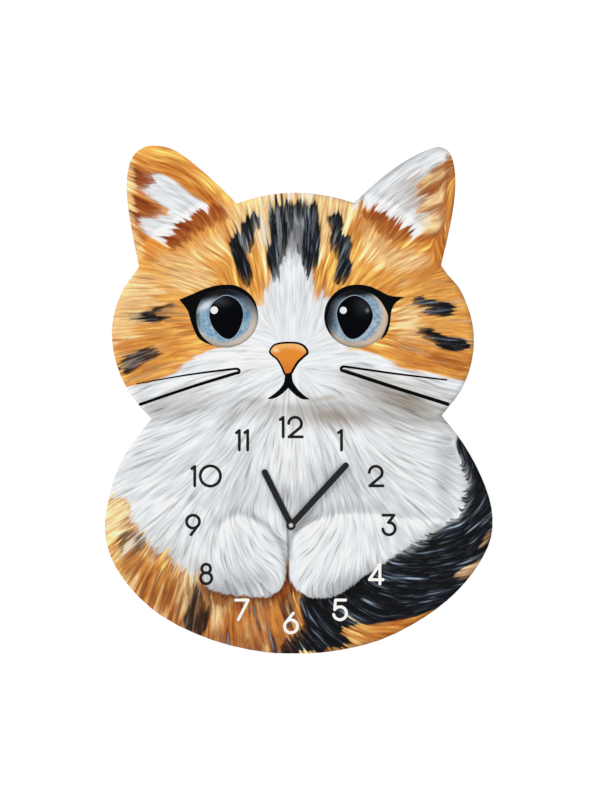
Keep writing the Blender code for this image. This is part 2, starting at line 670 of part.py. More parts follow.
def make_second_wheel(paint):
    """A wheel and a pinion on a thin arbor that runs forward inside the minute arbor."""
    front = MINUTE_TUBE_END + 0.2
    shoulder = -4.0
    arbor = turned(
        [(0, front), (SECOND_ARBOR_RADIUS, front), (SECOND_ARBOR_RADIUS, shoulder),
         (PIVOT_RADIUS, shoulder), (PIVOT_RADIUS, PIVOT_ENDS[1]), (0, PIVOT_ENDS[1])], steps=16)
    wheel = gear(SECOND_TEETH, SECOND_MODULE, 0.0, SECOND_WHEEL)
    pinion = gear(PINION_TEETH, TRAIN_MODULE, 0.0, SECOND_PINION)
    finish_object("second_wheel", combined(arbor, [wheel, pinion]), paint["wheel"], pivot("axis_second"))


def make_centre_wheel(paint, train):
    """A wheel with a collar, which grips the minute arbor as a slip clutch."""
    wheel = gear(CENTRE_TEETH, CENTRE_MODULE, train.centre_phase, CENTRE_WHEEL)
    collar = cylinder(2.9, *CENTRE_COLLAR)
    bore = through_hole(MINUTE_TUBE_RADIUS + 0.1, CENTRE_COLLAR)
    solid = combined(wheel, [collar], [bore])
    finish_object("centre_wheel", solid, paint["wheel"], pivot("axis_centre"))


def make_minute_arbor(paint, axis):
    arbor = cylinder(MINUTE_TUBE_RADIUS, MINUTE_TUBE_END, MINUTE_ARBOR_BACK)
    pinion = gear(MINUTE_PINION_TEETH, MOTION_MODULE, 0.0, MINUTE_PINION)
    bore = through_hole(MINUTE_BORE_RADIUS, (MINUTE_TUBE_END, MINUTE_ARBOR_BACK), steps=16)
    finish_object("minute_arbor", combined(arbor, [pinion], [bore]), paint["wheel"], axis)


def make_motion_wheel(paint, train):
    at = train.motion
    arbor = cylinder(PIVOT_RADIUS, *MOTION_ARBOR, at, 16)
    wheel = gear(MOTION_TEETH, MOTION_MODULE, train.motion_phase, MOTION_WHEEL, at)
    pinion = gear(MOTION_PINION_TEETH, HOUR_MODULE, 0.0, MOTION_PINION, at)
    solid = combined(arbor, [wheel, pinion])
    finish_object("motion_wheel", solid, paint["wheel"], pivot("axis_motion", *at))


def make_hour_wheel(paint, train, axis):
    """The hour tube, which turns in the bush and carries the hour hand, with its wheel."""
    tube_layer = (HOUR_TUBE_END, HOUR_WHEEL[1])
    arbor = cylinder(HOUR_TUBE_RADIUS, *tube_layer)
    wheel = gear(HOUR_TEETH, HOUR_MODULE, train.hour_phase, HOUR_WHEEL)
    bore = through_hole(HOUR_TUBE_BORE_RADIUS, tube_layer)
    finish_object("hour_wheel", combined(arbor, [wheel], [bore]), paint["wheel"], axis)


def make_setting_knob(paint, train):
    """A ribbed knob at the back whose pinion turns the motion wheel, to set the hands."""
    at = train.knob
    crest, valley = KNOB_RADII
    rim = [
        polar(valley if i % 2 == 0 else crest, math.pi * i / KNOB_RIBS) for i in range(2 * KNOB_RIBS)
    ]
    stem = cylinder(KNOB_STEM_RADIUS, *KNOB_STEM, at, 20)
    pinion = gear(MINUTE_PINION_TEETH, MOTION_MODULE, train.knob_phase, KNOB_PINION, at)
    head = prism(rim, *KNOB_HEAD, at)
    grip = box((at[0] - 3.4, at[0] + 3.4), (-0.8, CUT_BEYOND), (at[1] - 0.5, at[1] + 0.5))
    knob = combined(stem, [pinion, head], [grip])
    finish_object("setting_knob", knob, paint["knob"], pivot("axis_knob", *at))


# ---- The hands --------------------------------------------------------------------------------

def hand(name, length, angle, back, bore, collar, mat, axis):
    """A flat baton with a round hub and a collar behind it.  The angle is clockwise from twelve."""
    half = HAND_WIDTH / 2
    front = back - HAND_THICKNESS
    tip_steps = 12
    tip = [
        polar(half, math.pi * i / tip_steps, (0.0, length - half)) for i in range(tip_steps + 1)
    ]
    blade = prism([(-half, 0.0), (half, 0.0)] + tip, front, back)
    hub = cylinder(HAND_HUB_RADIUS, front, back, steps=32)
    collar_radius, collar_back = collar
    grip = cylinder(collar_radius, back - OVERLAP, collar_back)
    hole = through_hole(bore, (front, collar_back))
    solid = combined(hub, [blade, grip], [hole])
    solid.data.transform(Matrix.Rotation(math.radians(angle), 4, "Y"))
    finish_object(name, solid, mat, axis)


def make_hands(paint, minute_axis, hour_axis):
    minute_angle = MINUTES_SHOWN * 6
    hour_angle = (HOURS_SHOWN + MINUTES_SHOWN / 60) * 30
    hand("hour_hand", HOUR_HAND_LENGTH, hour_angle, HOUR_HAND_BACK, HOUR_TUBE_RADIUS + 0.06,
         (3.5, HOUR_HAND_BACK + 0.4), paint["hand"], hour_axis)
    hand("minute_hand", MINUTE_HAND_LENGTH, minute_angle, MINUTE_HAND_BACK, MINUTE_TUBE_RADIUS + 0.05,
         (2.7, MINUTE_HAND_BACK + 0.8), paint["hand"], minute_axis)


# ---- The whole clock --------------------------------------------------------------------------

def paints():
    return {
        "board": material("board", (0.42, 0.29, 0.18), 0.75),
        "print": material("print", (0.80, 0.74, 0.66), 0.35),
        "foam": material("foam", (0.90, 0.90, 0.88), 0.90),
        "wood": material("wood", (0.62, 0.47, 0.31), 0.70),
        "steel": material("steel", (0.62, 0.62, 0.60), 0.30, 1.0),
        "case": material("case", (0.02, 0.02, 0.022), 0.45),
        "plate": material("plate", (0.75, 0.76, 0.74), 0.50),
        "battery": material("battery", (0.10, 0.22, 0.34), 0.30, 0.2),
        "circuit": material("circuit", (0.04, 0.22, 0.10), 0.40),
        "crystal": material("crystal", (0.70, 0.70, 0.68), 0.25, 1.0),
        "epoxy": material("epoxy", (0.02, 0.02, 0.02), 0.25),
        "lamination": material("lamination", (0.45, 0.45, 0.44), 0.35, 1.0),
        "copper": material("copper", (0.72, 0.33, 0.15), 0.30, 1.0),
        "magnet": material("magnet", (0.22, 0.22, 0.23), 0.40, 0.6),
        "wheel": material("wheel", (0.88, 0.88, 0.86), 0.35),
        "knob": material("knob", (0.85, 0.85, 0.83), 0.45),
        "hand": material("hand", (0.015, 0.015, 0.016), 0.40),
    }


def main():
    clear_scene()
    paint = paints()
    train = Train()
    make_dial(paint)
    make_adhesive_pad(paint)
    make_hanger_block(paint)
    make_hanger_strip(paint)
    make_hanger_screws(paint)
    make_case(paint, train)
    make_rear_cover(paint, train)
    make_middle_plate(paint, train)
    make_battery(paint)
    make_contacts(paint)
    make_circuit(paint)
    make_stator(paint, train)
    make_coil(paint)
    make_rotor(paint, train)
    make_intermediate_wheel(paint, train)
    make_second_wheel(paint)
    make_third_wheel(paint, train)
    make_centre_wheel(paint, train)
    minute_axis, hour_axis = pivot("axis_minute"), pivot("axis_hour")
    make_minute_arbor(paint, minute_axis)
    make_motion_wheel(paint, train)
    make_hour_wheel(paint, train, hour_axis)
    make_setting_knob(paint, train)
    make_hands(paint, minute_axis, hour_axis)


main()
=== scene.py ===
"""The looks of the cat wall clock: a printed face over a fibreboard panel, with a quartz movement.

The face is one flat printed sheet. Its coat is painted hair by hair in numbers and kept as the
colours of a fine mesh; the eyes, nose, mouth, whiskers and numerals are thin films of ink on it.
Outlines and places on the face are in millimetres from the hands' axis, x to the right and z up.
"""
import math

import bpy
import numpy as np
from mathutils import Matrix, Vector
from mathutils.geometry import tessellate_polygon


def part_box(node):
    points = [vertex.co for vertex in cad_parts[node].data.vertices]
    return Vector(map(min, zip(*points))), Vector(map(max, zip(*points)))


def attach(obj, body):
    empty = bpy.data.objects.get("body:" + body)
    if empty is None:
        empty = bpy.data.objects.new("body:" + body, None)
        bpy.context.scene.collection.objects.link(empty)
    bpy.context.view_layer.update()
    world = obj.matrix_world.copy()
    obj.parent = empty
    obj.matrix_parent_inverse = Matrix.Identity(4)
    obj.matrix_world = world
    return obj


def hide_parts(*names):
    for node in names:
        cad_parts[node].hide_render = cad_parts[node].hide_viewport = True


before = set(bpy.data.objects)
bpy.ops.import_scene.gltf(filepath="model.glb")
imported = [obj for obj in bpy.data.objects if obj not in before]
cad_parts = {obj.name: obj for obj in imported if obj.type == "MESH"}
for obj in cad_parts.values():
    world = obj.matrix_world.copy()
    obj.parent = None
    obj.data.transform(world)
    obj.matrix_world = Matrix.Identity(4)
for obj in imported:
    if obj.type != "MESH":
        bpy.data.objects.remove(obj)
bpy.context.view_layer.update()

MM = 0.001

# ---- Sizes ------------------------------------------------------------------------------------
FACE_LOW, FACE_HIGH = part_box("printed_facing")
FACE_BACK = FACE_HIGH[1] / MM               # y of the sheet's back, which is stuck to the panel
FACE_FRONT = FACE_LOW[1] / MM               # y of the outermost ink
SHEET_FRONT = FACE_FRONT + 0.20             # y of the printed sheet's own front
INK_STEP = 0.04                             # thickness of one film of ink
INK_GRID = 0.3                              # spacing of the grid an ink outline is cut from
FINE_GRID = 0.25                            # the same, for thin lines
# Levels of ink: a film stands this many steps high, so that it covers those of lower levels.
BASE, LINE, FILL, LID, GLINT = 1, 2, 3, 4, 5
PAINT_STEP = 0.5                            # spacing of the painting grid
HOLE_RADIUS = 3.7                           # the hands' hole

NUMERAL_RING = 77.4                         # radius to the middle of a numeral
NUMERAL_HEIGHT = 17.8
INK_HALF = 1.15                             # half the width of a numeral's line
NUMERAL_GAP = 2.2                           # between the two figures of 10, 11 and 12

# ---- The painted coat: the lie of the fur ------------------------------------------------------
# (x, z, direction in degrees) from root to tip, 0 to the right and 90 up.
FUR_GUIDES = [
    # forehead
    (3, 245, 90), (3, 217, 90), (3, 186, 90), (-1, 158, 92), (-28, 245, 98), (-36, 225, 103),
    (-40, 201, 100), (35, 245, 82), (43, 225, 72), (39, 198, 63), (-48, 253, 110), (55, 253, 75),
    (-14, 174, 99), (14, 174, 81), (-7, 158, 95), (7, 158, 85), (-18, 196, 100), (20, 196, 78),
    # left brow and temple
    (-61, 235, 112), (-80, 224, 128), (-100, 219, 150), (-60, 211, 150), (-92, 208, 166),
    (-72, 195, 160), (-115, 192, 176), (-121, 176, 183), (-100, 168, 182), (-123, 154, 186),
    # right brow and temple
    (65, 229, 62), (78, 239, 60), (92, 227, 42), (92, 208, 28), (111, 192, 12), (70, 200, 40),
    (92, 168, 16), (124, 166, 2), (118, 182, 4), (104, 216, 25), (86, 154, 4),
    # left cheek and muzzle
    (-87, 143, 188), (-99, 132, 197), (-121, 120, 204), (-68, 134, 190), (-50, 134, 186),
    (-87, 96, 201), (-104, 91, 200), (-40, 109, 206), (-20, 117, 203), (-21, 132, 182),
    (-23, 150, 165), (-60, 121, 194),
    # right cheek and muzzle
    (63, 140, -16), (85, 141, -20), (119, 132, -14), (132, 148, -5), (40, 130, 8), (29, 117, -10),
    (63, 109, -20), (96, 100, -22), (111, 91, -20), (21, 142, 20), (15, 162, 75), (86, 118, -12),
    # chin
    (-1, 92, -90), (-13, 96, -112), (-23, 96, -140), (12, 96, -66), (24, 96, -40),
    # chest
    (-2, 67, -91), (-2, 36, -90), (-32, 87, -128), (-38, 67, -122), (-76, 75, -148),
    (-100, 79, -158), (-112, 66, -160), (-121, 41, -154), (-99, 36, -147), (-65, 24, -128),
    (-42, 19, -112), (-20, 41, -103), (-135, 28, -150), (-62, 51, -138), (18, 91, -68),
    (35, 86, -52), (63, 91, -33), (85, 82, -24), (110, 73, -15), (108, 58, -18), (97, 47, -25),
    (125, 43, -30), (74, 47, -42), (46, 64, -64), (29, 47, -76), (63, 24, -52), (46, 30, -68),
    (24, 24, -84), (108, 24, -34), (97, 7, -42), (126, 24, -38),
    # belly and paws
    (-106, 18, -142), (-115, 3, -142), (-96, -12, -128), (-76, -17, -106), (-68, 0, -112),
    (-56, -21, -84), (-55, -34, -70), (-43, -45, -62), (-27, -41, -52), (-17, -27, -36),
    (-12, -17, -22), (-32, -2, -60), (-40, -12, -70), (31, -12, -122), (11, -21, -140),
    (13, -41, -126), (31, -41, -114), (46, -21, -104), (60, -21, -88), (75, -12, -72),
    (90, -2, -60), (110, 3, -48), (130, 13, -42), (55, 12, -80), (11, -2, -150), (47, -43, -102),
    (-1, 4, -90),
    # tail
    (119, -7, 22), (139, 8, 47), (149, 23, 64), (150, 41, 88), (141, 58, 112), (110, -27, 8),
    (90, -36, 0), (90, -47, -8), (70, -53, -16), (134, -20, 20), (145, -8, 40), (118, -43, 12),
    (98, -59, 4), (60, -58, -26), (51, -62, -32), (40, -62, -42), (26, -71, -50), (21, -66, -56),
    (10, -66, -68), (6, -85, -58), (26, -86, -40), (51, -86, -22), (74, -81, -2), (90, -76, 10),
    (102, -69, 22),
    # left flank
    (-140, 13, -146), (-135, -2, -148), (-130, -17, -136), (-115, -32, -120), (-111, -47, -114),
    (-96, -51, -108), (-86, -66, -104), (-76, -71, -98), (-56, -71, -92), (-36, -71, -86),
    (-21, -71, -78), (-7, -66, -72), (-21, -91, -76), (-2, -51, -84), (-60, -58, -94),
    (-135, -28, -135),
    # left ear
    (-115, 287, 150), (-103, 292, 168), (-80, 282, 146), (-62, 265, 132), (-52, 253, 125),
    (-125, 257, 150), (-122, 225, 150), (-100, 265, 158), (-80, 253, 150), (-103, 249, 166),
    (-100, 231, 172), (-113, 273, 168), (-92, 274, 152),
    # right ear
    (78, 276, 38), (102, 290, 28), (118, 295, 20), (92, 261, 36), (106, 274, 32), (111, 253, 22),
    (111, 235, 15), (124, 257, 80), (123, 233, 95), (118, 217, 110), (74, 253, 42),
]

# ---- The painted coat: colours as the eye sees them (sRGB, 0 to 255) ----------------------------
SNOW = (230, 233, 236)
CREAM = (246, 214, 158)
GINGER = (228, 160, 76)
FLANK_GINGER = (214, 150, 80)
DEEP_GINGER = (206, 128, 50)
TAN = (206, 164, 122)
RUST = (150, 74, 26)
SILVER = (178, 184, 192)
GREY = (136, 140, 148)
COAL = (10, 12, 17)
UMBER = (78, 56, 48)
BROWN = (100, 54, 26)

# Patches of colour in the order they are painted: (colour, raggedness in mm along the fur,
# strength, softness of the edge in mm, outline).
COAT_PATCHES = [
    # the ginger mask, ears included, round the white blaze and muzzle
    (GINGER, 4.0, 1.0, 1.6, [
        (-147, 105), (-129, 110), (-110, 114), (-91, 120), (-81, 129), (-62, 139), (-47, 142),
        (-32, 166), (-28, 175), (-24, 176), (-20, 184), (-14, 197), (-8, 208), (-2, 216), (7, 217),
        (11, 208), (15, 194), (20, 181), (24, 176), (31, 181), (43, 154), (48, 140), (64, 136),
        (75, 132), (87, 124), (107, 121), (149, 117), (157, 178), (141, 304), (94, 304), (43, 265),
        (-40, 265), (-88, 312), (-143, 312), (-151, 178),
    ]),
    # lighter crown, brows and outer cheeks
    (CREAM, 8.0, 0.75, 8.0, [
        (-42, 258), (-20, 266), (4, 268), (30, 266), (50, 258), (54, 240), (34, 232), (26, 214),
        (4, 226), (-20, 214), (-30, 226), (-50, 236),
    ]),
    (CREAM, 8.0, 0.5, 9.0, [(-98, 200), (-76, 208), (-60, 198), (-70, 188), (-96, 186)]),
    (CREAM, 8.0, 0.6, 9.0, [(82, 172), (104, 168), (104, 150), (88, 138), (78, 146)]),
    (DEEP_GINGER, 9.0, 0.45, 12.0, [(50, 232), (84, 232), (112, 206), (118, 184), (70, 204)]),
    (DEEP_GINGER, 6.0, 0.80, 6.0, [(-128, 290), (-118, 292), (-116, 240), (-106, 214), (-128, 220)]),
    (DEEP_GINGER, 7.0, 0.7, 6.0, [(-134, 146), (-100, 152), (-84, 142), (-96, 128), (-130, 118)]),
    (DEEP_GINGER, 7.0, 0.8, 6.0, [(84, 130), (118, 138), (146, 132), (142, 122), (104, 122)]),
    (DEEP_GINGER, 4.0, 0.7, 5.0, [(86, 148), (104, 147), (112, 138), (96, 128), (84, 132)]),
    (DEEP_GINGER, 7.0, 0.6, 6.0, [(-30, 196), (-22, 198), (-16, 192), (-24, 178), (-34, 184)]),
    (DEEP_GINGER, 7.0, 0.6, 6.0, [(20, 196), (30, 198), (34, 184), (24, 178), (17, 188)]),
    (DEEP_GINGER, 9.0, 0.75, 8.0, [
        (-118, 222), (-92, 232), (-66, 246), (-50, 250), (-56, 234), (-84, 220), (-114, 208),
    ]),
    (DEEP_GINGER, 9.0, 0.75, 8.0, [
        (54, 246), (76, 242), (96, 226), (116, 214), (112, 202), (92, 214), (66, 232),
    ]),
    # left ear: a deeper inner rim, the pale inside, two rust fingers and the rust band at its foot
    (DEEP_GINGER, 4.0, 0.8, 3.0, [
        (-118, 285), (-105, 288), (-88, 282), (-72, 271), (-59, 257), (-55, 249), (-68, 246),
        (-80, 238), (-92, 224), (-111, 225), (-119, 235), (-122, 253), (-123, 271),
    ]),
    (SNOW, 3.0, 1.0, 1.8, [
        (-107, 275), (-99, 276), (-84, 266), (-73, 257), (-65, 252), (-72, 246), (-80, 240),
        (-88, 234), (-95, 226), (-101, 223), (-112, 229), (-116, 238), (-107, 242), (-97, 249),
        (-107, 257), (-118, 260), (-115, 267), (-109, 272),
    ]),
    (DEEP_GINGER, 3.0, 0.9, 3.0, [(-124, 262), (-112, 262), (-112, 256), (-124, 256)]),
    (RUST, 3.0, 1.0, 2.2, [(-124, 281), (-114, 278), (-108, 274), (-110, 268), (-124, 266)]),
    (RUST, 3.0, 1.0, 2.2, [(-123, 258), (-112, 256), (-103, 250), (-110, 243), (-122, 239)]),
    (RUST, 2.0, 1.0, 2.5, [
        (-98, 227), (-90, 234), (-81, 242), (-73, 248), (-62, 252), (-53, 249), (-50, 242),
        (-61, 238), (-71, 232), (-80, 226), (-89, 219), (-97, 218),
    ]),
    # a cream band along the ear's outer left rim, partly the fur's colour and partly painted rim light
    (CREAM, 1.5, 0.45, 2.5, [
        (-134, 292), (-123, 290), (-124, 262), (-121, 236), (-116, 216), (-124, 212), (-134, 240),
    ]),
    (CREAM, 4.0, 0.35, 6.0, [
        (-104, 214), (-84, 217), (-66, 228), (-52, 234), (-52, 216), (-80, 206), (-108, 204),
    ]),
    # right ear
    (SNOW, 3.0, 1.0, 1.8, [
        (48, 252), (56, 262), (69, 275), (85, 287), (102, 297), (116, 303), (129, 300), (125, 290),
        (116, 282), (107, 276), (99, 267), (103, 261), (110, 257), (101, 250), (108, 244),
        (112, 238), (105, 232), (98, 228), (89, 237), (79, 242), (67, 247), (58, 252),
    ]),
    (DEEP_GINGER, 2.0, 0.9, 2.0, [
        (125, 292), (134, 290), (134, 257), (129, 225), (118, 201), (113, 208), (116, 225),
        (119, 245), (121, 265), (121, 282),
    ]),
    (CREAM, 3.0, 0.75, 3.0, [
        (112, 282), (124, 287), (122, 262), (121, 238), (112, 231), (103, 235), (108, 246),
        (102, 257), (104, 270),
    ]),
    (RUST, 3.0, 0.80, 2.5, [(125, 287), (115, 284), (108, 278), (115, 277), (124, 282)]),
    (RUST, 3.0, 0.90, 2.5, [(124, 275), (112, 271), (102, 263), (110, 260), (121, 266)]),
    (RUST, 3.0, 0.85, 2.5, [(122, 256), (112, 252), (104, 246), (110, 243), (121, 249)]),
    (RUST, 2.0, 0.75, 2.0, [(121, 236), (110, 231), (97, 226), (104, 223), (120, 230)]),
    (CREAM, 4.0, 0.45, 6.0, [(58, 236), (84, 221), (100, 216), (110, 208), (96, 200), (62, 208)]),
    (RUST, 2.5, 0.9, 3.5, [
        (57, 249), (73, 245), (86, 239), (97, 230), (93, 226), (83, 224), (73, 230), (65, 236),
        (57, 242),
    ]),
    # a thin rust line inside the right ear's rim: painted shade in the groove there
    (RUST, 1.5, 0.7, 1.5, [(121, 288), (125, 292), (124, 262), (121, 236), (118, 238), (121, 262)]),
    # stripes on the forehead
    (COAL, 1.6, 1.0, 1.6, [
        (-29, 246), (-25, 242), (-26, 236), (-30, 230), (-30, 222), (-36, 214), (-33, 205),
        (-31, 198), (-32, 191), (-36, 189), (-40, 194), (-43, 205), (-46, 214), (-47, 222),
        (-44, 229), (-39, 232), (-38, 237), (-33, 243),
    ]),
    (GREY, 4.5, 0.9, 2.0, [
        (-18, 247), (-9, 252), (5, 252), (15, 249), (20, 240), (20, 229), (18, 214), (10, 210),
        (4, 213), (-2, 213), (-8, 210), (-14, 214), (-16, 228),
    ]),
    (COAL, 4.0, 1.0, 1.4, [
        (-15, 249), (-8, 253), (-7, 240), (-8, 226), (-5, 214), (-9, 203), (-12, 195), (-17, 201),
        (-18, 211), (-15, 225), (-16, 240),
    ]),
    (COAL, 4.0, 1.0, 1.4, [
        (13, 253), (18, 250), (22, 238), (22, 226), (22, 213), (18, 201), (14, 197), (11, 206),
        (6, 212), (4, 218), (10, 228), (13, 240),
    ]),
    (COAL, 3.0, 0.95, 1.4, [(-4, 252), (0, 255), (2, 246), (1, 233), (-2, 227), (-4, 238)]),
    (COAL, 3.0, 0.95, 1.4, [(3, 251), (7, 255), (9, 246), (7, 238), (4, 241)]),
    (COAL, 3.0, 0.95, 1.4, [(-9, 238), (-4, 240), (-1, 228), (-4, 219), (-8, 213)]),
    (COAL, 3.0, 0.95, 1.4, [(2, 230), (7, 235), (11, 228), (13, 212), (6, 217)]),
    (COAL, 1.6, 1.0, 1.6, [
        (30, 243), (37, 246), (41, 238), (39, 233), (45, 227), (47, 219), (45, 214), (48, 207),
        (46, 198), (41, 191), (35, 193), (37, 203), (38, 209), (33, 217), (31, 225), (33, 231),
        (31, 236), (29, 240),
    ]),
    # stripes on the cheeks
    (COAL, 2.5, 1.0, 2.0, [
        (-126, 166), (-119, 168), (-111, 169), (-105, 172), (-100, 174), (-94, 174), (-92, 170),
        (-96, 165), (-101, 162), (-109, 160), (-117, 161), (-124, 162),
    ]),
    (COAL, 2.5, 0.95, 2.0, [
        (-133, 132), (-126, 134), (-119, 137), (-113, 140), (-107, 140), (-105, 136), (-110, 132),
        (-116, 129), (-121, 125), (-126, 121), (-132, 122),
    ]),
    (GREY, 2.0, 0.45, 3.0, [(-132, 129), (-118, 131), (-122, 125), (-130, 124)]),
    (COAL, 2.5, 1.0, 2.0, [
        (97, 179), (103, 180), (109, 178), (116, 176), (123, 175), (129, 171), (127, 167),
        (120, 165), (113, 166), (107, 169), (103, 173), (98, 176),
    ]),
    (COAL, 2.5, 1.0, 2.0, [
        (100, 155), (106, 155), (114, 153), (119, 149), (126, 148), (133, 147), (139, 143),
        (137, 139), (129, 138), (121, 139), (114, 142), (111, 146), (106, 148), (102, 151),
    ]),
    (RUST, 3.0, 0.6, 2.5, [(106, 135), (118, 135), (138, 127), (134, 121), (118, 127)]),
    (CREAM, 5.0, 0.55, 7.0, [(-142, 200), (-104, 190), (-128, 150), (-140, 146)]),
    (CREAM, 5.0, 0.70, 4.0, [(84, 172), (102, 168), (98, 158), (86, 154)]),
    (DEEP_GINGER, 4.0, 0.60, 6.0, [(-98, 168), (-84, 176), (-76, 158), (-84, 150)]),
    # the flank and the underside of the tail
    (FLANK_GINGER, 3.0, 1.0, 1.6, [
        (-151, 21), (-140, 22), (-130, 19), (-124, 6), (-119, -5), (-111, -15), (-102, -21),
        (-92, -28), (-82, -38), (-70, -44), (-40, -48), (-20, -46), (-9, -38), (-3, -30), (6, -42),
        (31, -42), (102, -52), (126, -75), (7, -122), (-88, -107), (-159, -28),
    ]),
    (CREAM, 4.0, 0.7, 5.0, [(-152, 22), (-134, 18), (-126, 2), (-136, -10), (-152, -6)]),
    (CREAM, 4.0, 0.6, 4.0, [(-84, -42), (-74, -48), (-82, -66), (-92, -72), (-90, -56)]),
    (CREAM, 4.0, 0.6, 4.0, [(-64, -58), (-52, -62), (-52, -78), (-62, -84)]),
    (DEEP_GINGER, 4.0, 0.80, 4.0, [(-114, -24), (-94, -36), (-100, -66), (-118, -52)]),
    # a rust band hugging the lower edge of the left paw: painted shade beneath the paw
    (RUST, 2.0, 0.80, 3.0, [
        (-76, -46), (-60, -55), (-40, -60), (-20, -59), (-8, -50), (-6, -62), (-24, -67),
        (-44, -67), (-64, -60),
    ]),
    (RUST, 4.0, 0.70, 5.0, [(-60, -80), (-20, -84), (0, -84), (0, -106), (-30, -106), (-66, -94)]),
    (DEEP_GINGER, 4.0, 0.7, 5.0, [(-50, -64), (-4, -64), (-4, -84), (-50, -84)]),
    # the tail
    (COAL, 2.2, 1.0, 1.3, [
        (129, 68), (132, 58), (135, 50), (138, 39), (139, 29), (137, 17), (132, 7), (123, 0),
        (113, -6), (104, -12), (91, -20), (76, -26), (60, -32), (40, -38), (22, -42), (13, -48),
        (9, -57), (8, -69), (10, -79), (4, -86), (-6, -94), (-5, -103), (15, -100), (31, -96),
        (47, -92), (37, -85), (43, -80), (64, -77), (86, -74), (100, -73), (120, -70), (142, -62),
        (166, -36), (168, -12), (169, 20), (149, 62), (136, 72),
    ]),
    (TAN, 2.0, 0.9, 1.5, [(129, -40), (138, -34), (149, -27), (150, -32), (140, -41), (131, -43)]),
    (TAN, 2.0, 0.6, 1.5, [(149, -15), (157, -5), (157, -11), (151, -17)]),
    (DEEP_GINGER, 6.0, 0.9, 1.0, [(66, -80), (100, -72), (116, -66), (96, -80), (60, -92)]),
    # dark patches on the flank
    (UMBER, 3.0, 0.85, 3.0, [
        (-138, -10), (-130, -5), (-120, -8), (-115, -16), (-124, -24), (-133, -27), (-137, -20),
    ]),
    (COAL, 2.5, 0.95, 2.5, [
        (-75, -50), (-72, -56), (-69, -61), (-63, -67), (-65, -75), (-68, -82), (-72, -88),
        (-80, -86), (-86, -77), (-82, -68), (-80, -59),
    ]),
    (UMBER, 2.0, 0.6, 2.0, [(-76, -62), (-71, -62), (-72, -71), (-77, -72)]),
    (COAL, 5.0, 0.85, 1.5, [(-6, -56), (-2, -58), (2, -69), (1, -80), (-4, -72)]),
    (RUST, 2.0, 0.95, 1.5, [(-4, -38), (-1, -43), (4, -54), (-6, -57), (-14, -58), (-8, -51)]),
]

# Hairs of another colour among the rest, on the strands that stand out in the way of `side`:
# (colour, strength, side, how far out a strand has to stand, outline).
STREAKS = [
    (SILVER, 0.55, -1, 0.75, [
        (-16, 250), (16, 250), (20, 240), (16, 214), (9, 212), (-2, 214), (-10, 208), (-14, 226),
    ]),
    (COAL, 0.95, 1, -0.1, [
        (-14, 258), (-8, 250), (-2, 258), (4, 251), (10, 258), (18, 250), (21, 228), (18, 214),
        (9, 216), (-2, 220), (-10, 212), (-17, 226),
    ]),
    (SNOW, 0.6, -1, 0.2, [(-29, 252), (-15, 256), (-17, 222), (-27, 226)]),
    (COAL, 0.7, 1, 1.1, [(-26, 252), (-14, 256), (-14, 232), (-22, 228)]),
    (SNOW, 0.45, -1, 1.0, [(-46, 226), (-34, 230), (-32, 214), (-44, 212)]),
    (SNOW, 0.45, -1, 1.0, [(30, 230), (44, 228), (44, 212), (34, 210)]),
    (RUST, 0.55, 1, 0.9, [(-124, 284), (-100, 284), (-100, 238), (-122, 232)]),
    (RUST, 0.60, 1, 0.5, [(92, 276), (122, 290), (124, 236), (98, 246), (84, 258)]),
    (CREAM, 0.60, -1, 0.5, [(96, 268), (120, 276), (124, 236), (104, 232)]),
    (RUST, 0.50, 1, 0.9, [(-142, 210), (-60, 206), (-84, 150), (-96, 118), (-140, 120)]),
    (RUST, 0.60, 1, 0.7, [(52, 236), (112, 206), (146, 176), (146, 120), (86, 130), (84, 190)]),
    (CREAM, 0.55, -1, 0.9, [(50, 240), (112, 200), (146, 170), (146, 120), (86, 130), (84, 190)]),
    (CREAM, 0.50, -1, 0.9, [(-142, 210), (-60, 200), (-84, 150), (-96, 118), (-140, 120)]),
    (RUST, 0.90, 1, 0.3, [(-136, -14), (-110, -28), (-60, -56), (0, -56), (0, -104), (-110, -92)]),
    (BROWN, 0.80, 1, 1.1, [(-120, -26), (-84, -46), (-60, -60), (0, -58), (0, -104), (-110, -86)]),
    (CREAM, 0.90, -1, 0.3, [(-152, 16), (-110, -24), (-84, -44), (-84, -70), (-124, -80)]),
    (CREAM, 0.75, -1, 0.9, [(-84, -44), (-60, -58), (0, -60), (0, -104), (-84, -80)]),
    (SNOW, 0.55, -1, 0.6, [(-138, -8), (-120, -4), (-114, -14), (-128, -26), (-138, -20)]),
    (COAL, 0.75, 1, 1.0, [(-60, -66), (0, -62), (0, -104), (-60, -100)]),
    (RUST, 0.70, 1, 0.4, [(60, -84), (104, -76), (126, -66), (110, -84), (60, -98)]),
]

# The paws lie over the tail and the flank, with clean edges.
PAWS = [
    [(-60, 12), (-44, 8), (-30, 4), (-18, -5), (-9, -18), (-4, -32), (-4, -42), (-9, -51),
     (-20, -57), (-38, -56), (-54, -54), (-68, -47), (-72, -20)],
    [(-1, -26), (1, -12), (9, -3), (23, 4), (39, 8), (60, 9), (84, 6), (104, -6), (92, -18),
     (80, -26), (70, -33), (58, -40), (48, -48), (35, -56), (19, -58), (7, -53), (-1, -42)],
]

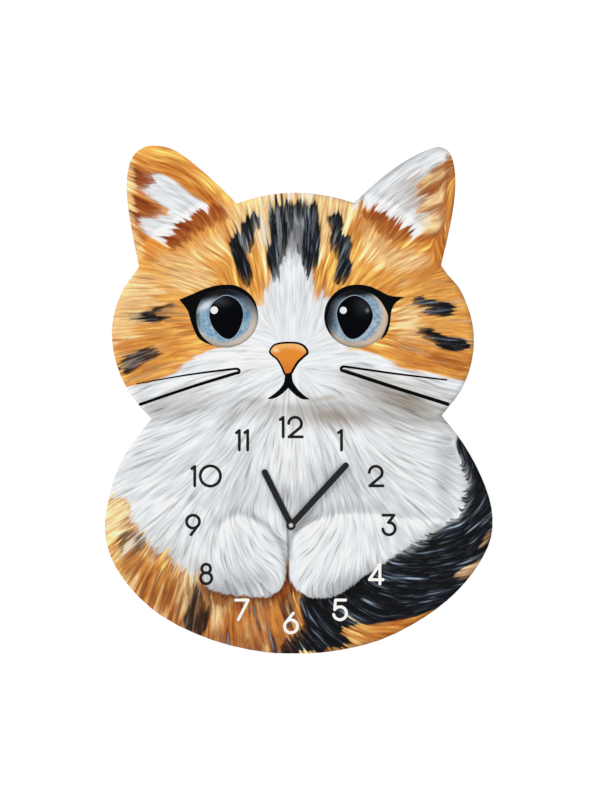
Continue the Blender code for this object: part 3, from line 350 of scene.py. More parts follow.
# Rounded forms under the coat, which the painter shades: (height in mm, width of the rounded
# edge in mm, outline).
FORMS = [
    # head over the chest
    (9.0, 22.0, [
        (-128, 92), (-100, 84), (-72, 92), (-40, 98), (-14, 94), (14, 93), (40, 96), (70, 88),
        (98, 82), (126, 90), (150, 130), (142, 190), (110, 230), (60, 262), (-50, 262),
        (-118, 222), (-146, 180), (-150, 130),
    ]),
    # muzzle
    (3.0, 12.0, [
        (-2, 128), (-20, 128), (-38, 120), (-42, 108), (-30, 99), (-14, 99), (-4, 108),
    ]),
    (3.0, 12.0, [(0, 128), (18, 128), (36, 120), (40, 108), (28, 99), (12, 99), (1, 108)]),
    # bridge of the nose
    (2.5, 10.0, [(-16, 200), (-9, 142), (9, 142), (17, 200), (8, 232), (-8, 232)]),
    # haunches and paws
    (6.0, 26.0, [
        (-130, 10), (-104, 22), (-70, 14), (-56, -10), (-60, -52), (-90, -40), (-118, -10),
    ]),
    (7.0, 13.0, [
        (-44, 7), (-30, 4), (-18, -5), (-9, -18), (-4, -32), (-4, -42), (-9, -52), (-20, -58),
        (-38, -57), (-54, -54), (-64, -42), (-66, -24), (-58, -4),
    ]),
    (8.0, 15.0, [
        (-1, -26), (1, -12), (9, -3), (23, 4), (39, 8), (60, 9), (84, 6), (110, 4), (120, 2),
        (92, -20), (70, -34), (52, -46), (35, -57), (19, -59), (7, -54), (-1, -42),
    ]),
    # tail
    (9.0, 24.0, [
        (127, 72), (137, 40), (141, 22), (122, 2), (92, -20), (58, -42), (31, -58), (9, -57),
        (-6, -100), (40, -110), (110, -80), (170, -10), (160, 60),
    ]),
]

# Hollows pressed into the forms: (depth in mm, x, z, half width, half height).
HOLLOWS = [
    (5.0, -51.7, 164.5, 30.0, 29.0), (5.0, 51.9, 164.5, 30.0, 29.0),
    (5.0, -90.0, 252.0, 26.0, 22.0), (5.0, 96.0, 256.0, 24.0, 22.0),
]

# Soft light and shade over the coat, as the colour that white would turn to: (colour, strength,
# x, z, half width, half height, tilt).
SHADES = [
    ((216, 219, 222), 0.60, -50, 52, 90, 34, 0), ((214, 216, 217), 0.60, 90, 50, 40, 40, 0),
    ((206, 208, 211), 0.60, -50, -36, 20, 22, 20), ((255, 255, 255), 0.55, -1, 46, 14, 30, 0),
    ((255, 255, 255), 0.35, -2, 95, 18, 8, 0), ((172, 156, 138), 0.55, 97, 266, 12, 16, -50),
    ((255, 255, 255), 0.35, -40, 132, 34, 14, 0), ((216, 221, 225), 0.60, 2, 180, 16, 40, 0),
    ((158, 148, 138), 0.95, 34, 86, 40, 10, -4), ((150, 140, 129), 0.95, 92, 96, 42, 13, -18),
    ((168, 162, 154), 0.55, 66, 110, 26, 7, -14), ((188, 186, 182), 0.75, -88, 95, 38, 8, 14),
    ((196, 196, 196), 0.60, -34, 88, 26, 7, 4), ((184, 188, 192), 0.70, 122, 42, 10, 40, 0),
    ((172, 176, 182), 0.55, 0, 20, 34, 14, 0), ((190, 194, 199), 0.60, 44, 34, 40, 20, -14),
    ((178, 180, 184), 0.80, -46, -50, 40, 12, 10), ((172, 176, 180), 0.80, 38, -50, 34, 11, 22),
    ((190, 190, 190), 0.65, -92, -24, 26, 12, -40), ((194, 198, 204), 0.50, -48, 24, 14, 20, -30),
    ((176, 158, 138), 0.60, 26, 100, 13, 2.6, 8), ((190, 178, 164), 0.50, -26, 99, 10, 2.2, 0),
    ((190, 192, 196), 0.40, -112, 94, 16, 12, 20), ((196, 190, 180), 0.45, -70, 112, 40, 3.0, 14),
    ((196, 190, 180), 0.50, 84, 113, 40, 3.5, -12), ((196, 198, 202), 0.50, 84, -8, 16, 16, 0),
]

# Painted shade in soft lines pressed between the forms: (colour, strength, half width, points).
FOLDS = [
    ((104, 106, 114), 0.80, 0.9, [(-2.4, 0), (-2.4, -14), (-2.2, -28), (-2.6, -42)]),
    ((150, 154, 162), 0.50, 2.4, [(-30, 7), (-17, -2), (-8, -14), (-4, -28)]),
    ((178, 182, 188), 0.35, 4.0, [(-60, 2), (-46, 11), (-32, 10)]),
    ((150, 154, 162), 0.55, 2.4, [(0, -26), (1, -10), (9, 0), (20, 6)]),
    ((178, 182, 188), 0.35, 5.0, [(18, 9), (34, 13), (52, 15), (70, 14)]),
]
# The toes, with painted shade in the lines between them.
TOE_FOLDS = [
    [(-52, -44), (-50, -50), (-46, -56)], [(-36, -46), (-33, -52), (-29, -58)],
    [(-24, -46), (-20, -51), (-14, -57)], [(17, -48), (17, -53), (19, -59)],
    [(33, -46), (33, -51), (34, -57)],
]
FOLDS += [((134, 132, 132), 0.65, 0.7, points) for points in TOE_FOLDS]

# Light on the forms. Slopes are in mm per mm and hollows in mm.
FORM_BLUR = 1.6                             # mm
HOLLOW_BLUR = 5.0                           # mm: how wide the surroundings are that a hollow is in
SLOPE_LIGHT = (0.10, -0.16)                 # light from the upper left: gain per slope in x and z
HOLLOW_DIM, CREST_LIGHT = 0.10, 0.03
SHADING = 1.1                               # strength of the whole shading
RIM_LIGHT_BAND, RIM_SHADE_LINE = (-5.0, -1.0), (-1.5, -0.2)     # the painted rim light and shade band, and the thin painted shade line: where both start and are full, from the rim
BRIGHTEST = 0.90                            # no paint is brighter, in linear colour

# Tones of the coat: how bright white is, how dark black is, in linear colour.
LUMINANCE = np.array([0.25, 0.6, 0.15])
WHITE_TONE, BLACK_TONE = (0.55, 0.72), (0.10, 0.03)

GUIDE_BLUR, GUIDE_POWER = 4.0, 1.7          # how a fur guide's weight falls off with distance
COAT_SEED = 11

# The strands: (spread across the fur, reach along it each way) of the fine, broad and tuft noise,
# both in steps of STRAND_STEP mm.
STRAND_STEP = 0.6
STRAND_SIZES = ((0.42, 18), (0.80, 28), (1.8, 36))
# How much of the fine, the broad and the tuft noise goes into each mix.
EDGE_MIX = (0.40, 0.75, 0.45)               # the ragged edges of the patches
STREAK_MIX = (0.35, 0.45, 0.85)             # the hairs of another colour
WHITE_MIX = (0.105, 0.045, 0.030)
GINGER_MIX = (0.25, 0.20, 0.18)
BLACK_MIX = (0.30, 0.25, 0.0)
GREY_LINE_MIX = (-0.9, -0.5, 0.0)           # the grey lines in the white
SHEEN_MIX = (0.95, 0.65, 0.3)               # the sheen on the black
SHEEN = np.array([0.085, 0.110, 0.140])     # its linear colour
STREAK_EDGE = (3.0, -5.0)                   # where a streak's outline fades in, mm
STREAK_RISE = (-0.2, 0.35)                  # where its strands fade in, from `least`

HAIR_COUNT = 40000
HAIR_BATCHES = 8
HAIR_LENGTH = 9.0                           # mm
HAIR_STEP = 0.8                             # in cells of the painting grid
HAIR_VARY = 0.30                            # how much lighter or darker a hair may be
HAIR_SHINE = np.array([0.060, 0.075, 0.098])
HAIR_COVER = 0.32                           # how much a hair hides what is under it
DARK_SPREAD = 0.9                           # black hairs hide the ones beside them, mm
PAW_SHADOW = np.array([1.0, 1.5, 1.8])      # how strongly a paw's shadow dims red, green, blue


def srgb_to_linear(colour):
    c = np.asarray(colour, dtype=np.float64) / 255.0
    return np.where(c <= 0.04045, c / 12.92, ((c + 0.055) / 1.055) ** 2.4)


def smoothstep(low, high, value):
    t = np.clip((value - low) / (high - low), 0.0, 1.0)
    return t * t * (3.0 - 2.0 * t)


def smooth_curve(points, closed, pieces=6):
    """A Catmull-Rom curve through the points, as a list of points."""
    p = np.asarray(points, dtype=np.float64)
    if closed:
        p = np.vstack([p[-1], p, p[0], p[1]])
    else:
        p = np.vstack([2 * p[0] - p[1], p, 2 * p[-1] - p[-2]])
    run = []
    for a, b, c, d in zip(p[:-3], p[1:-2], p[2:-1], p[3:]):
        for t in np.arange(pieces) / pieces:
            run.append(0.5 * (2 * b + (c - a) * t + (2 * a - 5 * b + 4 * c - d) * t ** 2
                              + (3 * b - a - 3 * c + d) * t ** 3))
    if not closed:
        run.append(p[-2])
    return np.array(run)


def blurred(field, sigma):
    """A Gaussian blur on the grid, sigma in cells, with mirrored edges."""
    pad = min(int(3 * sigma) + 2, min(field.shape) - 1)
    wide = np.pad(field, pad, mode="reflect")
    fz = np.fft.fftfreq(wide.shape[0])[:, None]
    fx = np.fft.rfftfreq(wide.shape[1])[None, :]
    transfer = np.exp(-2.0 * (math.pi * sigma) ** 2 * (fx * fx + fz * fz))
    out = np.fft.irfft2(np.fft.rfft2(wide) * transfer, wide.shape)
    return out[pad:-pad, pad:-pad]


def noise_field(shape, sigma, rng):
    """Smooth noise with mean 0 and spread 1."""
    field = blurred(rng.standard_normal(shape), sigma)
    return (field - field.mean()) / field.std()


def sample(field, col, row):
    """A grid field read between its points."""
    rows, cols = field.shape[:2]
    col = np.clip(col, 0, cols - 1.001)
    row = np.clip(row, 0, rows - 1.001)
    c0, r0 = col.astype(np.int32), row.astype(np.int32)
    fc, fr = col - c0, row - r0
    if field.ndim == 3:
        fc, fr = fc[..., None], fr[..., None]
    top = field[r0, c0] * (1 - fc) + field[r0, c0 + 1] * fc
    low = field[r0 + 1, c0] * (1 - fc) + field[r0 + 1, c0 + 1] * fc
    return top * (1 - fr) + low * fr


def outline_distance(outline, x, z):
    """Signed distance from a closed outline, negative inside."""
    points = np.asarray(outline, dtype=np.float64)
    best = np.full(x.shape, 1e9)
    inside = np.zeros(x.shape, dtype=bool)
    for (ax, az), (bx, bz) in zip(points, np.roll(points, -1, axis=0)):
        dx, dz = bx - ax, bz - az
        t = np.clip(((x - ax) * dx + (z - az) * dz) / (dx * dx + dz * dz), 0, 1)
        best = np.minimum(best, (x - ax - t * dx) ** 2 + (z - az - t * dz) ** 2)
        if az != bz:
            inside ^= ((az > z) != (bz > z)) & (x < dx * (z - az) / dz + ax)
    return np.where(inside, -1.0, 1.0) * np.sqrt(best)


def line_distance(points, x, z, widths=None):
    """Distance from an open line less its half width, which may taper from point to point."""
    points = np.asarray(points, dtype=np.float64)
    half = np.zeros(len(points)) if widths is None else np.asarray(widths, dtype=np.float64)
    best = np.full(x.shape, 1e9)
    for (ax, az), (bx, bz), ha, hb in zip(points[:-1], points[1:], half[:-1], half[1:]):
        dx, dz = bx - ax, bz - az
        t = np.clip(((x - ax) * dx + (z - az) * dz) / (dx * dx + dz * dz), 0, 1)
        d = np.hypot(x - ax - t * dx, z - az - t * dz) - (ha + (hb - ha) * t)
        best = np.minimum(best, d)
    return best


def tilted(x, z, cx, cz, rx, rz, tilt):
    """The squared distance from (cx, cz) in half widths of an ellipse tilted by `tilt` degrees."""
    a = math.radians(tilt)
    along = ((x - cx) * math.cos(a) + (z - cz) * math.sin(a)) / rx
    across = (-(x - cx) * math.sin(a) + (z - cz) * math.cos(a)) / rz
    return along ** 2 + across ** 2


def mixed(weights, strands):
    """The fine, broad and tuft noise added up by weight."""
    return sum(weight * strand for weight, strand in zip(weights, strands))


def toward(paint, colour, cover):
    """The step from the paint to another colour (sRGB), as far as `cover` says."""
    return cover[..., None] * (srgb_to_linear(colour) - paint)


def tinted(colour, cover):
    """The factor that turns white into the colour (sRGB), as far as `cover` says."""
    return 1 + cover[..., None] * (srgb_to_linear(colour) / srgb_to_linear(SNOW) - 1)


def fur_direction(x, z):
    """Unit vectors of the lie of the fur, blended from the guides by distance."""
    u, v = np.zeros(x.shape), np.zeros(x.shape)
    for gx, gz, angle in FUR_GUIDES:
        weight = 1.0 / ((x - gx) ** 2 + (z - gz) ** 2 + GUIDE_BLUR) ** GUIDE_POWER
        u += weight * math.cos(math.radians(angle))
        v += weight * math.sin(math.radians(angle))
    length = np.hypot(u, v) + 1e-12
    return u / length, v / length


def combed(noise, u, v, reach):
    """Noise drawn out along the fur for `reach` cells each way, which turns it into strands."""
    rows, cols = noise.shape
    total = noise.copy()
    for side in (1.0, -1.0):
        col, row = np.meshgrid(np.arange(cols, dtype=float), np.arange(rows, dtype=float))
        for i in range(1, reach + 1):
            du, dv = sample(u, col, row), sample(v, col, row)
            col, row = col + side * du, row + side * dv
            total += (0.5 + 0.5 * math.cos(math.pi * i / (reach + 1))) * sample(noise, col, row)
    return (total - total.mean()) / total.std()


def paint_streaks(paint, x, z, strands):
    """Hairs of another colour, where the strands stand out. Cream and rust leave black as it is."""
    for colour, strength, side, least, outline in STREAKS:
        distance = outline_distance(smooth_curve(outline, True, 3), x, z)
        rise = [least + shift for shift in STREAK_RISE]
        cover = strength * smoothstep(*STREAK_EDGE, distance) * smoothstep(*rise, side * strands)
        if colour in (CREAM, RUST):
            cover *= 1 - tone_weights(paint)[2]
        paint += toward(paint, colour, cover)
    return paint


def paint_patches(x, z, u, v, strands):
    """The flat colours of the coat. Each edge is shifted along the fur, strand by strand."""
    paint = np.ones(x.shape + (3,)) * srgb_to_linear(SNOW)
    for colour, ragged, strength, soft, outline in COAT_PATCHES:
        outline = smooth_curve(outline, True, 3)
        low, high = outline.min(axis=0) - 3 * ragged - 6, outline.max(axis=0) + 3 * ragged + 6
        rows = np.where((z[:, 0] > low[1]) & (z[:, 0] < high[1]))[0]
        cols = np.where((x[0] > low[0]) & (x[0] < high[0]))[0]
        area = np.ix_(rows, cols)
        shift = ragged * strands[area]
        distance = outline_distance(outline, x[area] + shift * u[area], z[area] + shift * v[area])
        distance -= DARK_SPREAD if colour == COAL else 0.0
        cover = strength * smoothstep(0.5 * soft, -0.5 * soft, distance)
        paint[area] += toward(paint[area], colour, cover)
    return paint


def form_height(x, z):
    """The height of the rounded forms, which overlap like pillows."""
    height = np.zeros(x.shape)
    for rise, width, outline in FORMS:
        inside = np.clip(-outline_distance(smooth_curve(outline, True, 3), x, z) / width, 0, 1)
        height = np.maximum(height, rise * np.sqrt(1 - (1 - inside) ** 2))
    for depth, *ellipse in HOLLOWS:
        height -= depth * np.exp(-1.2 * tilted(x, z, *ellipse, 0))
    return height


def paint_shading(paint, x, z):
    """Light from the upper left on the forms, shade in the folds between them."""
    height = blurred(form_height(x, z), FORM_BLUR / PAINT_STEP)
    slope_z, slope_x = np.gradient(height, PAINT_STEP)
    light = SLOPE_LIGHT[0] * slope_x + SLOPE_LIGHT[1] * slope_z
    hollow = blurred(height, HOLLOW_BLUR / PAINT_STEP) - height
    light -= HOLLOW_DIM * np.clip(hollow, 0, 3)
    light += CREST_LIGHT * np.clip(-hollow, 0, 3)
    paint = paint * np.exp(SHADING * np.clip(light, -0.5, 0.25))[..., None]
    for colour, strength, *ellipse in SHADES:
        paint *= tinted(colour, strength * np.exp(-1.2 * tilted(x, z, *ellipse)))
    for colour, strength, half, points in FOLDS:
        distance = line_distance(smooth_curve(points, False), x, z)
        paint *= tinted(colour, strength * np.exp(-(distance / half) ** 2))
    return paint


def vary_colour(colour, amount):
    """Lighter or darker hairs. A ginger hair also turns creamy or rusty, a white one doesn't."""
    top = colour.max(axis=-1, keepdims=True)
    tint = 1 - colour.min(axis=-1, keepdims=True) / np.maximum(top, 1e-6)
    power = 1.0 + tint * np.array([-0.45, 0.05, 0.45])
    return colour * np.exp(power * amount[..., None])


def tone_weights(paint):
    """How much each cell is white, ginger (or grey) and black, for the contrast of its strands."""
    white = smoothstep(*WHITE_TONE, paint @ LUMINANCE)
    black = smoothstep(*BLACK_TONE, paint.max(axis=-1))
    return white, np.clip(1 - white - black, 0, 1), black


def paint_strands(paint, x, z, strands):
    """The strands of the coat: fine grey lines in the white, streaks in the ginger, sheen on black."""
    white, ginger, black = tone_weights(paint)
    # stronger on the flank, calmer on the muzzle and the bridge of the nose
    ginger = ginger * (1 + 0.5 * smoothstep(30.0, -10.0, z))
    white = white * (1 - 0.6 * np.exp(-((x + 1) ** 2 + (z - 146) ** 2) / 40.0 ** 2))
    amount = white * mixed(WHITE_MIX, strands)
    amount -= white * 0.16 * np.clip(mixed(GREY_LINE_MIX, strands) - 0.9, 0, 3)
    amount += ginger * mixed(GINGER_MIX, strands)
    amount += black * mixed(BLACK_MIX, strands)
    sheen = black * np.clip(mixed(SHEEN_MIX, strands) - 1.0, 0, 2.5) ** 1.5
    return vary_colour(paint, amount) + sheen[..., None] * SHEEN


def hair_marks(x, u, v, rng, number):
    """A batch of hairs: their roots, and the cells that they cover as [cell, amount, hair]."""
    rows, cols = x.shape
    col, row = rng.uniform(0, cols - 1, number), rng.uniform(0, rows - 1, number)
    root = col.copy(), row.copy()
    steps = int(HAIR_LENGTH / (HAIR_STEP * PAINT_STEP))
    reach = HAIR_STEP * rng.uniform(0.5, 1.4, number)
    turn, bend = rng.normal(0, 0.05, number), rng.normal(0, 0.006, number)
    marks = []
    for i in range(steps):
        t = (i + 0.5) / steps
        du, dv = sample(u, col, row), sample(v, col, row)
        turn = turn + bend
        col, row = col + (du - dv * turn) * reach, row + (dv + du * turn) * reach
        fade = min(1.0, t / 0.15) * (1 - t) ** 0.6
        c0, r0 = np.floor(col).astype(int), np.floor(row).astype(int)
        keep = np.where((c0 >= 0) & (c0 < cols - 1) & (r0 >= 0) & (r0 < rows - 1))[0]
        fc, fr = (col - c0)[keep], (row - r0)[keep]
        cell = (r0 * cols + c0)[keep]
        for step, near_z in ((0, 1 - fr), (cols, fr)):
            marks.append((cell + step, fade * (1 - fc) * near_z, keep))
            marks.append((cell + step + 1, fade * fc * near_z, keep))
    return root, [np.concatenate(part) for part in zip(*marks)]


def paint_hairs(paint, x, u, v, rng):
    """Single hairs over the strands, each a little lighter or darker than the coat at its root."""
    rows, cols = x.shape
    number = HAIR_COUNT // HAIR_BATCHES
    for _ in range(HAIR_BATCHES):
        root, (cell, amount, hair) = hair_marks(x, u, v, rng, number)
        colour = sample(paint, *root)
        white, ginger, black = tone_weights(colour)
        spread = HAIR_VARY * (0.25 * white + ginger + 0.6 * black)
        colour = vary_colour(colour, spread * rng.standard_normal(number))
        shine = black * (rng.random(number) < 0.10) * rng.uniform(0.5, 2.2, number)
        colour += HAIR_SHINE * shine[:, None]
        weight = np.bincount(cell, amount, rows * cols)
        tone = [np.bincount(cell, amount * colour[hair, k], rows * cols) for k in range(3)]
        mean = np.stack(tone, axis=1) / np.maximum(weight, 1e-6)[:, None]
        cover = HAIR_COVER * (1 - np.exp(-1.2 * weight)).reshape(rows, cols, 1)
        paint += cover * (mean.reshape(rows, cols, 3) - paint)
    return paint


def paint_paws(paint, x, z, strands):
    """The paws over the rest, each with a soft shadow beneath its edge."""
    snow = np.ones(x.shape + (3,)) * srgb_to_linear(SNOW)
    white = paint_strands(snow, x, z, strands)
    for outline in PAWS:
        distance = outline_distance(smooth_curve(outline, True, 4), x, z) + 0.5 * strands[0]
        low = smoothstep(-22.0, -46.0, z)
        shadow = low * 0.75 * np.exp(-(np.maximum(distance, 0) / 3.5) ** 2)
        paint = paint * np.exp(-shadow[..., None] * PAW_SHADOW)
        cover = smoothstep(0.6, -0.6, distance)[..., None]
        paint += cover * (white - paint)
    return paint


def paint_coat(x, z, edge):
    """The whole coat in linear colour on the grid; edge is the distance from the sheet's rim."""
    rng = np.random.default_rng(COAT_SEED)
    u, v = fur_direction(x, z)
    cell = STRAND_STEP / PAINT_STEP
    strands = [combed(noise_field(x.shape, across * cell, rng), u, v, int(along * cell))
               for across, along in STRAND_SIZES]
    paint = paint_patches(x, z, u, v, mixed(EDGE_MIX, strands))
    paint = paint_streaks(paint, x, z, mixed(STREAK_MIX, strands))
    paint = paint_strands(paint, x, z, strands)
    paint = paint_hairs(paint, x, u, v, rng)
    paint = paint_paws(paint, x, z, strands)
    paint = paint_shading(paint, x, z)
    # painted light and shade in a band along the rim, lighter on the left and darker on the right,
    # then a thin dark line of painted shade, strongest on the right
    lit = smoothstep(60.0, -60.0, x)
    paint *= (1 + smoothstep(*RIM_LIGHT_BAND, edge) * (0.30 * lit - 0.20))[..., None]
    paint *= (1 - smoothstep(*RIM_SHADE_LINE, edge) * (0.25 - 0.20 * lit))[..., None]
    return np.clip(paint, 0.0, BRIGHTEST)


# ---- Meshes ------------------------------------------------------------------------------------
def new_object(name, data):
    """A new object in the scene."""
    thing = bpy.data.objects.new(name, data)
    bpy.context.scene.collection.objects.link(thing)
    return thing


def clipped_grid(distance, xs, zs):
    """The part of a square grid where distance is negative, cut cleanly along the zero line:
    points (x, z) and faces that look along -Y."""
    near = 0.12 * (xs[1] - xs[0])
    distance = np.where(np.abs(distance) < near, near, distance)
    inside = distance < 0
    rows, cols = distance.shape
    corner = np.arange(rows * cols).reshape(rows, cols)
    corners = [corner[:-1, :-1], corner[:-1, 1:], corner[1:, 1:], corner[1:, :-1]]
    flags = [inside[:-1, :-1], inside[:-1, 1:], inside[1:, 1:], inside[1:, :-1]]
    count = sum(flag.astype(int) for flag in flags)
    quads = np.stack([c[count == 4] for c in corners], axis=1)
    grid_x, grid_z = np.meshgrid(xs, zs)
    points = {int(i): (grid_x.flat[i], grid_z.flat[i]) for i in np.unique(quads)}
    faces = [tuple(quad) for quad in quads.tolist()]

    def crossing(i, j):
        i, j = min(i, j), max(i, j)
        di, dj = distance.flat[i], distance.flat[j]
        t = di / (di - dj)
        x = grid_x.flat[i] + t * (grid_x.flat[j] - grid_x.flat[i])
        z = grid_z.flat[i] + t * (grid_z.flat[j] - grid_z.flat[i])
        points[(i, j)] = (x, z)
        return (i, j)

    mixed = np.stack([c[(count > 0) & (count < 4)] for c in corners], axis=1).tolist()
    for a, b, c, d in mixed:
        for triangle in ((a, b, c), (a, c, d)):
            face = []
            for i, j in zip(triangle, triangle[1:] + triangle[:1]):
                if inside.flat[i]:
                    points[i] = (grid_x.flat[i], grid_z.flat[i])
                    face.append(i)
                if inside.flat[i] != inside.flat[j]:
                    face.append(crossing(i, j))
            if len(face) > 2:
                faces.append(tuple(face))
    number = {key: n for n, key in enumerate(points)}
    return np.array(list(points.values())), [tuple(number[k] for k in face) for face in faces]


def rim_loops(faces):
    """The closed loops of edges that only one face has, in the faces' own direction."""
    follow = {}
    for face in faces:
        for i, j in zip(face, face[1:] + face[:1]):
            follow[(i, j)] = True
    after = {i: j for i, j in follow if (j, i) not in follow}
    loops = []
    while after:
        start, here = after.popitem()
        loop = [start]
        while here != start:
            loop.append(here)
            here = after.pop(here)
        loops.append(loop)
    return loops


def cap_triangles(points, loops):
    """Triangles that close the loops. A loop that runs clockwise is a hole in the one round it."""
    flat = [points[loop] for loop in loops]
    areas = [np.sum(p[:, 0] * np.roll(p[:, 1], -1) - np.roll(p[:, 0], -1) * p[:, 1]) for p in flat]
    triangles = []
    for outer in [n for n, area in enumerate(areas) if area > 0]:
        group = [outer] + [n for n, area in enumerate(areas) if area < 0
                           and outline_distance(flat[outer], *flat[n][:1].T)[0] < 0]
        run = [i for n in group for i in loops[n]]
        rims = [[Vector((x, z, 0.0)) for x, z in flat[n]] for n in group]
        for corners in tessellate_polygon(rims):
            a, b, c = (points[run[k]] for k in corners)
            turn = (b[0] - a[0]) * (c[1] - a[1]) - (b[1] - a[1]) * (c[0] - a[0])
            order = corners if turn > 0 else corners[::-1]
            triangles.append(tuple(run[k] for k in order))
    return triangles


def plate(name, points, faces, back, front, material, colours=None):
    """A closed flat solid: the faces at y = front, a wall round each rim and a cap at y = back."""
    loops = rim_loops(faces)
    rim = [i for loop in loops for i in loop]
    below = {i: len(points) + n for n, i in enumerate(rim)}
    vertices = [(x * MM, front * MM, z * MM) for x, z in points]
    vertices += [(points[i][0] * MM, back * MM, points[i][1] * MM) for i in rim]
    solid = list(faces)
    for loop in loops:
        for i, j in zip(loop, loop[1:] + loop[:1]):
            solid.append((j, i, below[i], below[j]))
    solid += [(below[c], below[b], below[a]) for a, b, c in cap_triangles(points, loops)]
    mesh = bpy.data.meshes.new(name)
    mesh.from_pydata(vertices, [], solid)
    mesh.materials.append(material)
    if colours is not None:
        every = np.ones((len(vertices), 4))
        every[:len(points), :3] = colours
        every[len(points):, :3] = colours[rim]
        layer = mesh.color_attributes.new(name="paint", type="FLOAT_COLOR", domain="POINT")
        layer.data.foreach_set("color", every.astype(np.float32).ravel())
    mesh.update()
    piece = new_object(name, mesh)
    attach(piece, "clock")
    return piece


def ink(name, shape, box, level, material, step=INK_GRID, painter=None):
    """A film of ink where shape(x, z) is negative, within box = (x low, z low, x high, z high)."""
    xs = np.arange(box[0], box[2] + step, step)
    zs = np.arange(box[1], box[3] + step, step)
    x, z = np.meshgrid(xs, zs)
    points, faces = clipped_grid(shape(x, z), xs, zs)
    colours = None if painter is None else painter(points[:, 0], points[:, 1])
    front = SHEET_FRONT - level * INK_STEP
    piece = plate(name, points, faces, SHEET_FRONT, front, material, colours)


def box_of(outline, margin=1.0):
    low, high = np.min(outline, axis=0) - margin, np.max(outline, axis=0) + margin
    return low[0], low[1], high[0], high[1]


def ink_outline(name, outline, level, material, grow=0.0, margin=1.0, shift=(0.0, 0.0), **more):
    """Ink inside an outline that is grown by some mm and shifted."""
    def shape(x, z):
        return outline_distance(outline, x + shift[0], z + shift[1]) - grow
    ink(name, shape, box_of(outline, margin), level, material, **more)


def sharp_outline(*runs):
    """Smooth runs of points that meet in sharp corners, as one closed outline."""
    return np.vstack([smooth_curve(run, False)[:-1] for run in runs])


def arc(cx, cz, radius, start, end, step=12):
    """Points on an arc from start to end, in degrees."""
    count = max(2, int(abs(end - start) / step))
    angles = np.radians(np.linspace(start, end, count + 1))
    return [(cx + radius * math.cos(a), cz + radius * math.sin(a)) for a in angles]


# ---- Materials ---------------------------------------------------------------------------------
def new_material(name):
    material = bpy.data.materials.new(name)
    material.use_nodes = True
    return material, material.node_tree


def linear(colour):
    """An sRGB tint as an opaque linear colour."""
    return (*srgb_to_linear(colour), 1.0)


def feed(node, inputs):
    """Set a node's inputs by name: another node's output is linked, a plain value is set."""
    for name, value in inputs.items():
        if isinstance(value, bpy.types.NodeSocket):
            node.id_data.links.new(value, node.inputs[name])
        else:
            node.inputs[name].default_value = value


def add(tree, kind, inputs):
    """A new node with its inputs fed."""
    node = tree.nodes.new(kind)
    feed(node, inputs)
    return node


def place(tree, **mapping):
    """Points in the object's own space, stretched or turned as the mapping says."""
    point = add(tree, "ShaderNodeTexCoord", {}).outputs["Object"]
    if mapping:
        point = add(tree, "ShaderNodeMapping", {"Vector": point, **mapping}).outputs["Vector"]
    return point


def grain(tree, size, stretch=(1.0, 1.0, 1.0), detail=4.0, roughness=0.55):
    """A noise texture whose spots are about `size` mm across, in the object's own space."""
    return add(tree, "ShaderNodeTexNoise", {
        "Vector": place(tree, Scale=stretch), "Scale": 1.0 / (size * MM),
        "Detail": detail, "Roughness": roughness,
    }).outputs["Fac"]


def spread(tree, value, low, high):
    """A noise value mapped to run from low to high."""
    return add(tree, "ShaderNodeMapRange", {
        "Value": value, "From Min": 0.3, "From Max": 0.7, "To Min": low, "To Max": high,
    }).outputs["Result"]


def ramp(tree, value, stops, interpolation="LINEAR"):
    """A colour that runs through (position, sRGB tint) stops, driven by a value."""
    node = add(tree, "ShaderNodeValToRGB", {"Fac": value})
    node.color_ramp.interpolation = interpolation
    while len(node.color_ramp.elements) < len(stops):
        node.color_ramp.elements.new(0.5)
    for element, (position, colour) in zip(node.color_ramp.elements, stops):
        element.position = position
        element.color = linear(colour)
    return node.outputs["Color"]


def two_tone(tree, value, dark, light):
    """A colour between two sRGB tints, driven by a noise value."""
    return ramp(tree, value, ((0.32, dark), (0.68, light)))


def dress(tree, colour, value, rough, depth, strength, height=None, metallic=0.0, specular=0.5):
    """The shader's sockets. One noise value drives the roughness and, unless another height is
    given, the relief, which is `depth` mm deep."""
    bump = add(tree, "ShaderNodeBump", {
        "Height": value if height is None else height, "Distance": depth * MM, "Strength": strength,
    })
    feed(tree.nodes["Principled BSDF"], {
        "Base Color": colour, "Roughness": spread(tree, value, *rough),
        "Normal": bump.outputs["Normal"], "Metallic": metallic, "Specular IOR Level": specular,
    })


def finish(name, dark, light, size, rough, depth=0.02, strength=0.3, metallic=0.0,
           stretch=(1.0, 1.0, 1.0), specular=0.5):
    """A two-tone material with its grain in colour, roughness and relief, sizes in mm."""
    material, tree = new_material(name)
    value = grain(tree, size, stretch)
    dress(tree, two_tone(tree, value, dark, light), value, rough, depth, strength,
          metallic=metallic, specular=specular)
    return material


def ink_finish(name, dark, light, size, rough, specular=0.5):
    return finish(name, dark, light, size, rough, 0.01, 0.1, specular=specular)


def painted_finish(name, grain_size, grain_depth, rough, specular):
    """Printed colour from the mesh, broken up by the print's grain: size in mm, depth as a share."""
    material, tree = new_material(name)
    paint = add(tree, "ShaderNodeAttribute", {})
    paint.attribute_name = "paint"
    value = grain(tree, grain_size, detail=2.0)
    tone = add(tree, "ShaderNodeHueSaturation", {
        "Color": paint.outputs["Color"],
        "Value": spread(tree, value, 1 - grain_depth, 1 + grain_depth),
    })
    dress(tree, tone.outputs["Color"], value, rough, 0.01, 0.10, specular=specular)
    return material


# ---- The printed sheet -------------------------------------------------------------------------
def sheet_outline():
    """The rim of the CAD sheet in mm, read from its front face."""
    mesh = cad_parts["printed_facing"].data
    places = [tuple(round(value / MM, 4) for value in v.co) for v in mesh.vertices]
    front = min(place[1] for place in places)
    faces = [tuple(places[i] for i in p.vertices) for p in mesh.polygons]
    flat = [face for face in faces if all(place[1] == front for place in face)]
    longest = max(rim_loops(flat), key=len)
    return [(x, z) for x, _, z in longest]


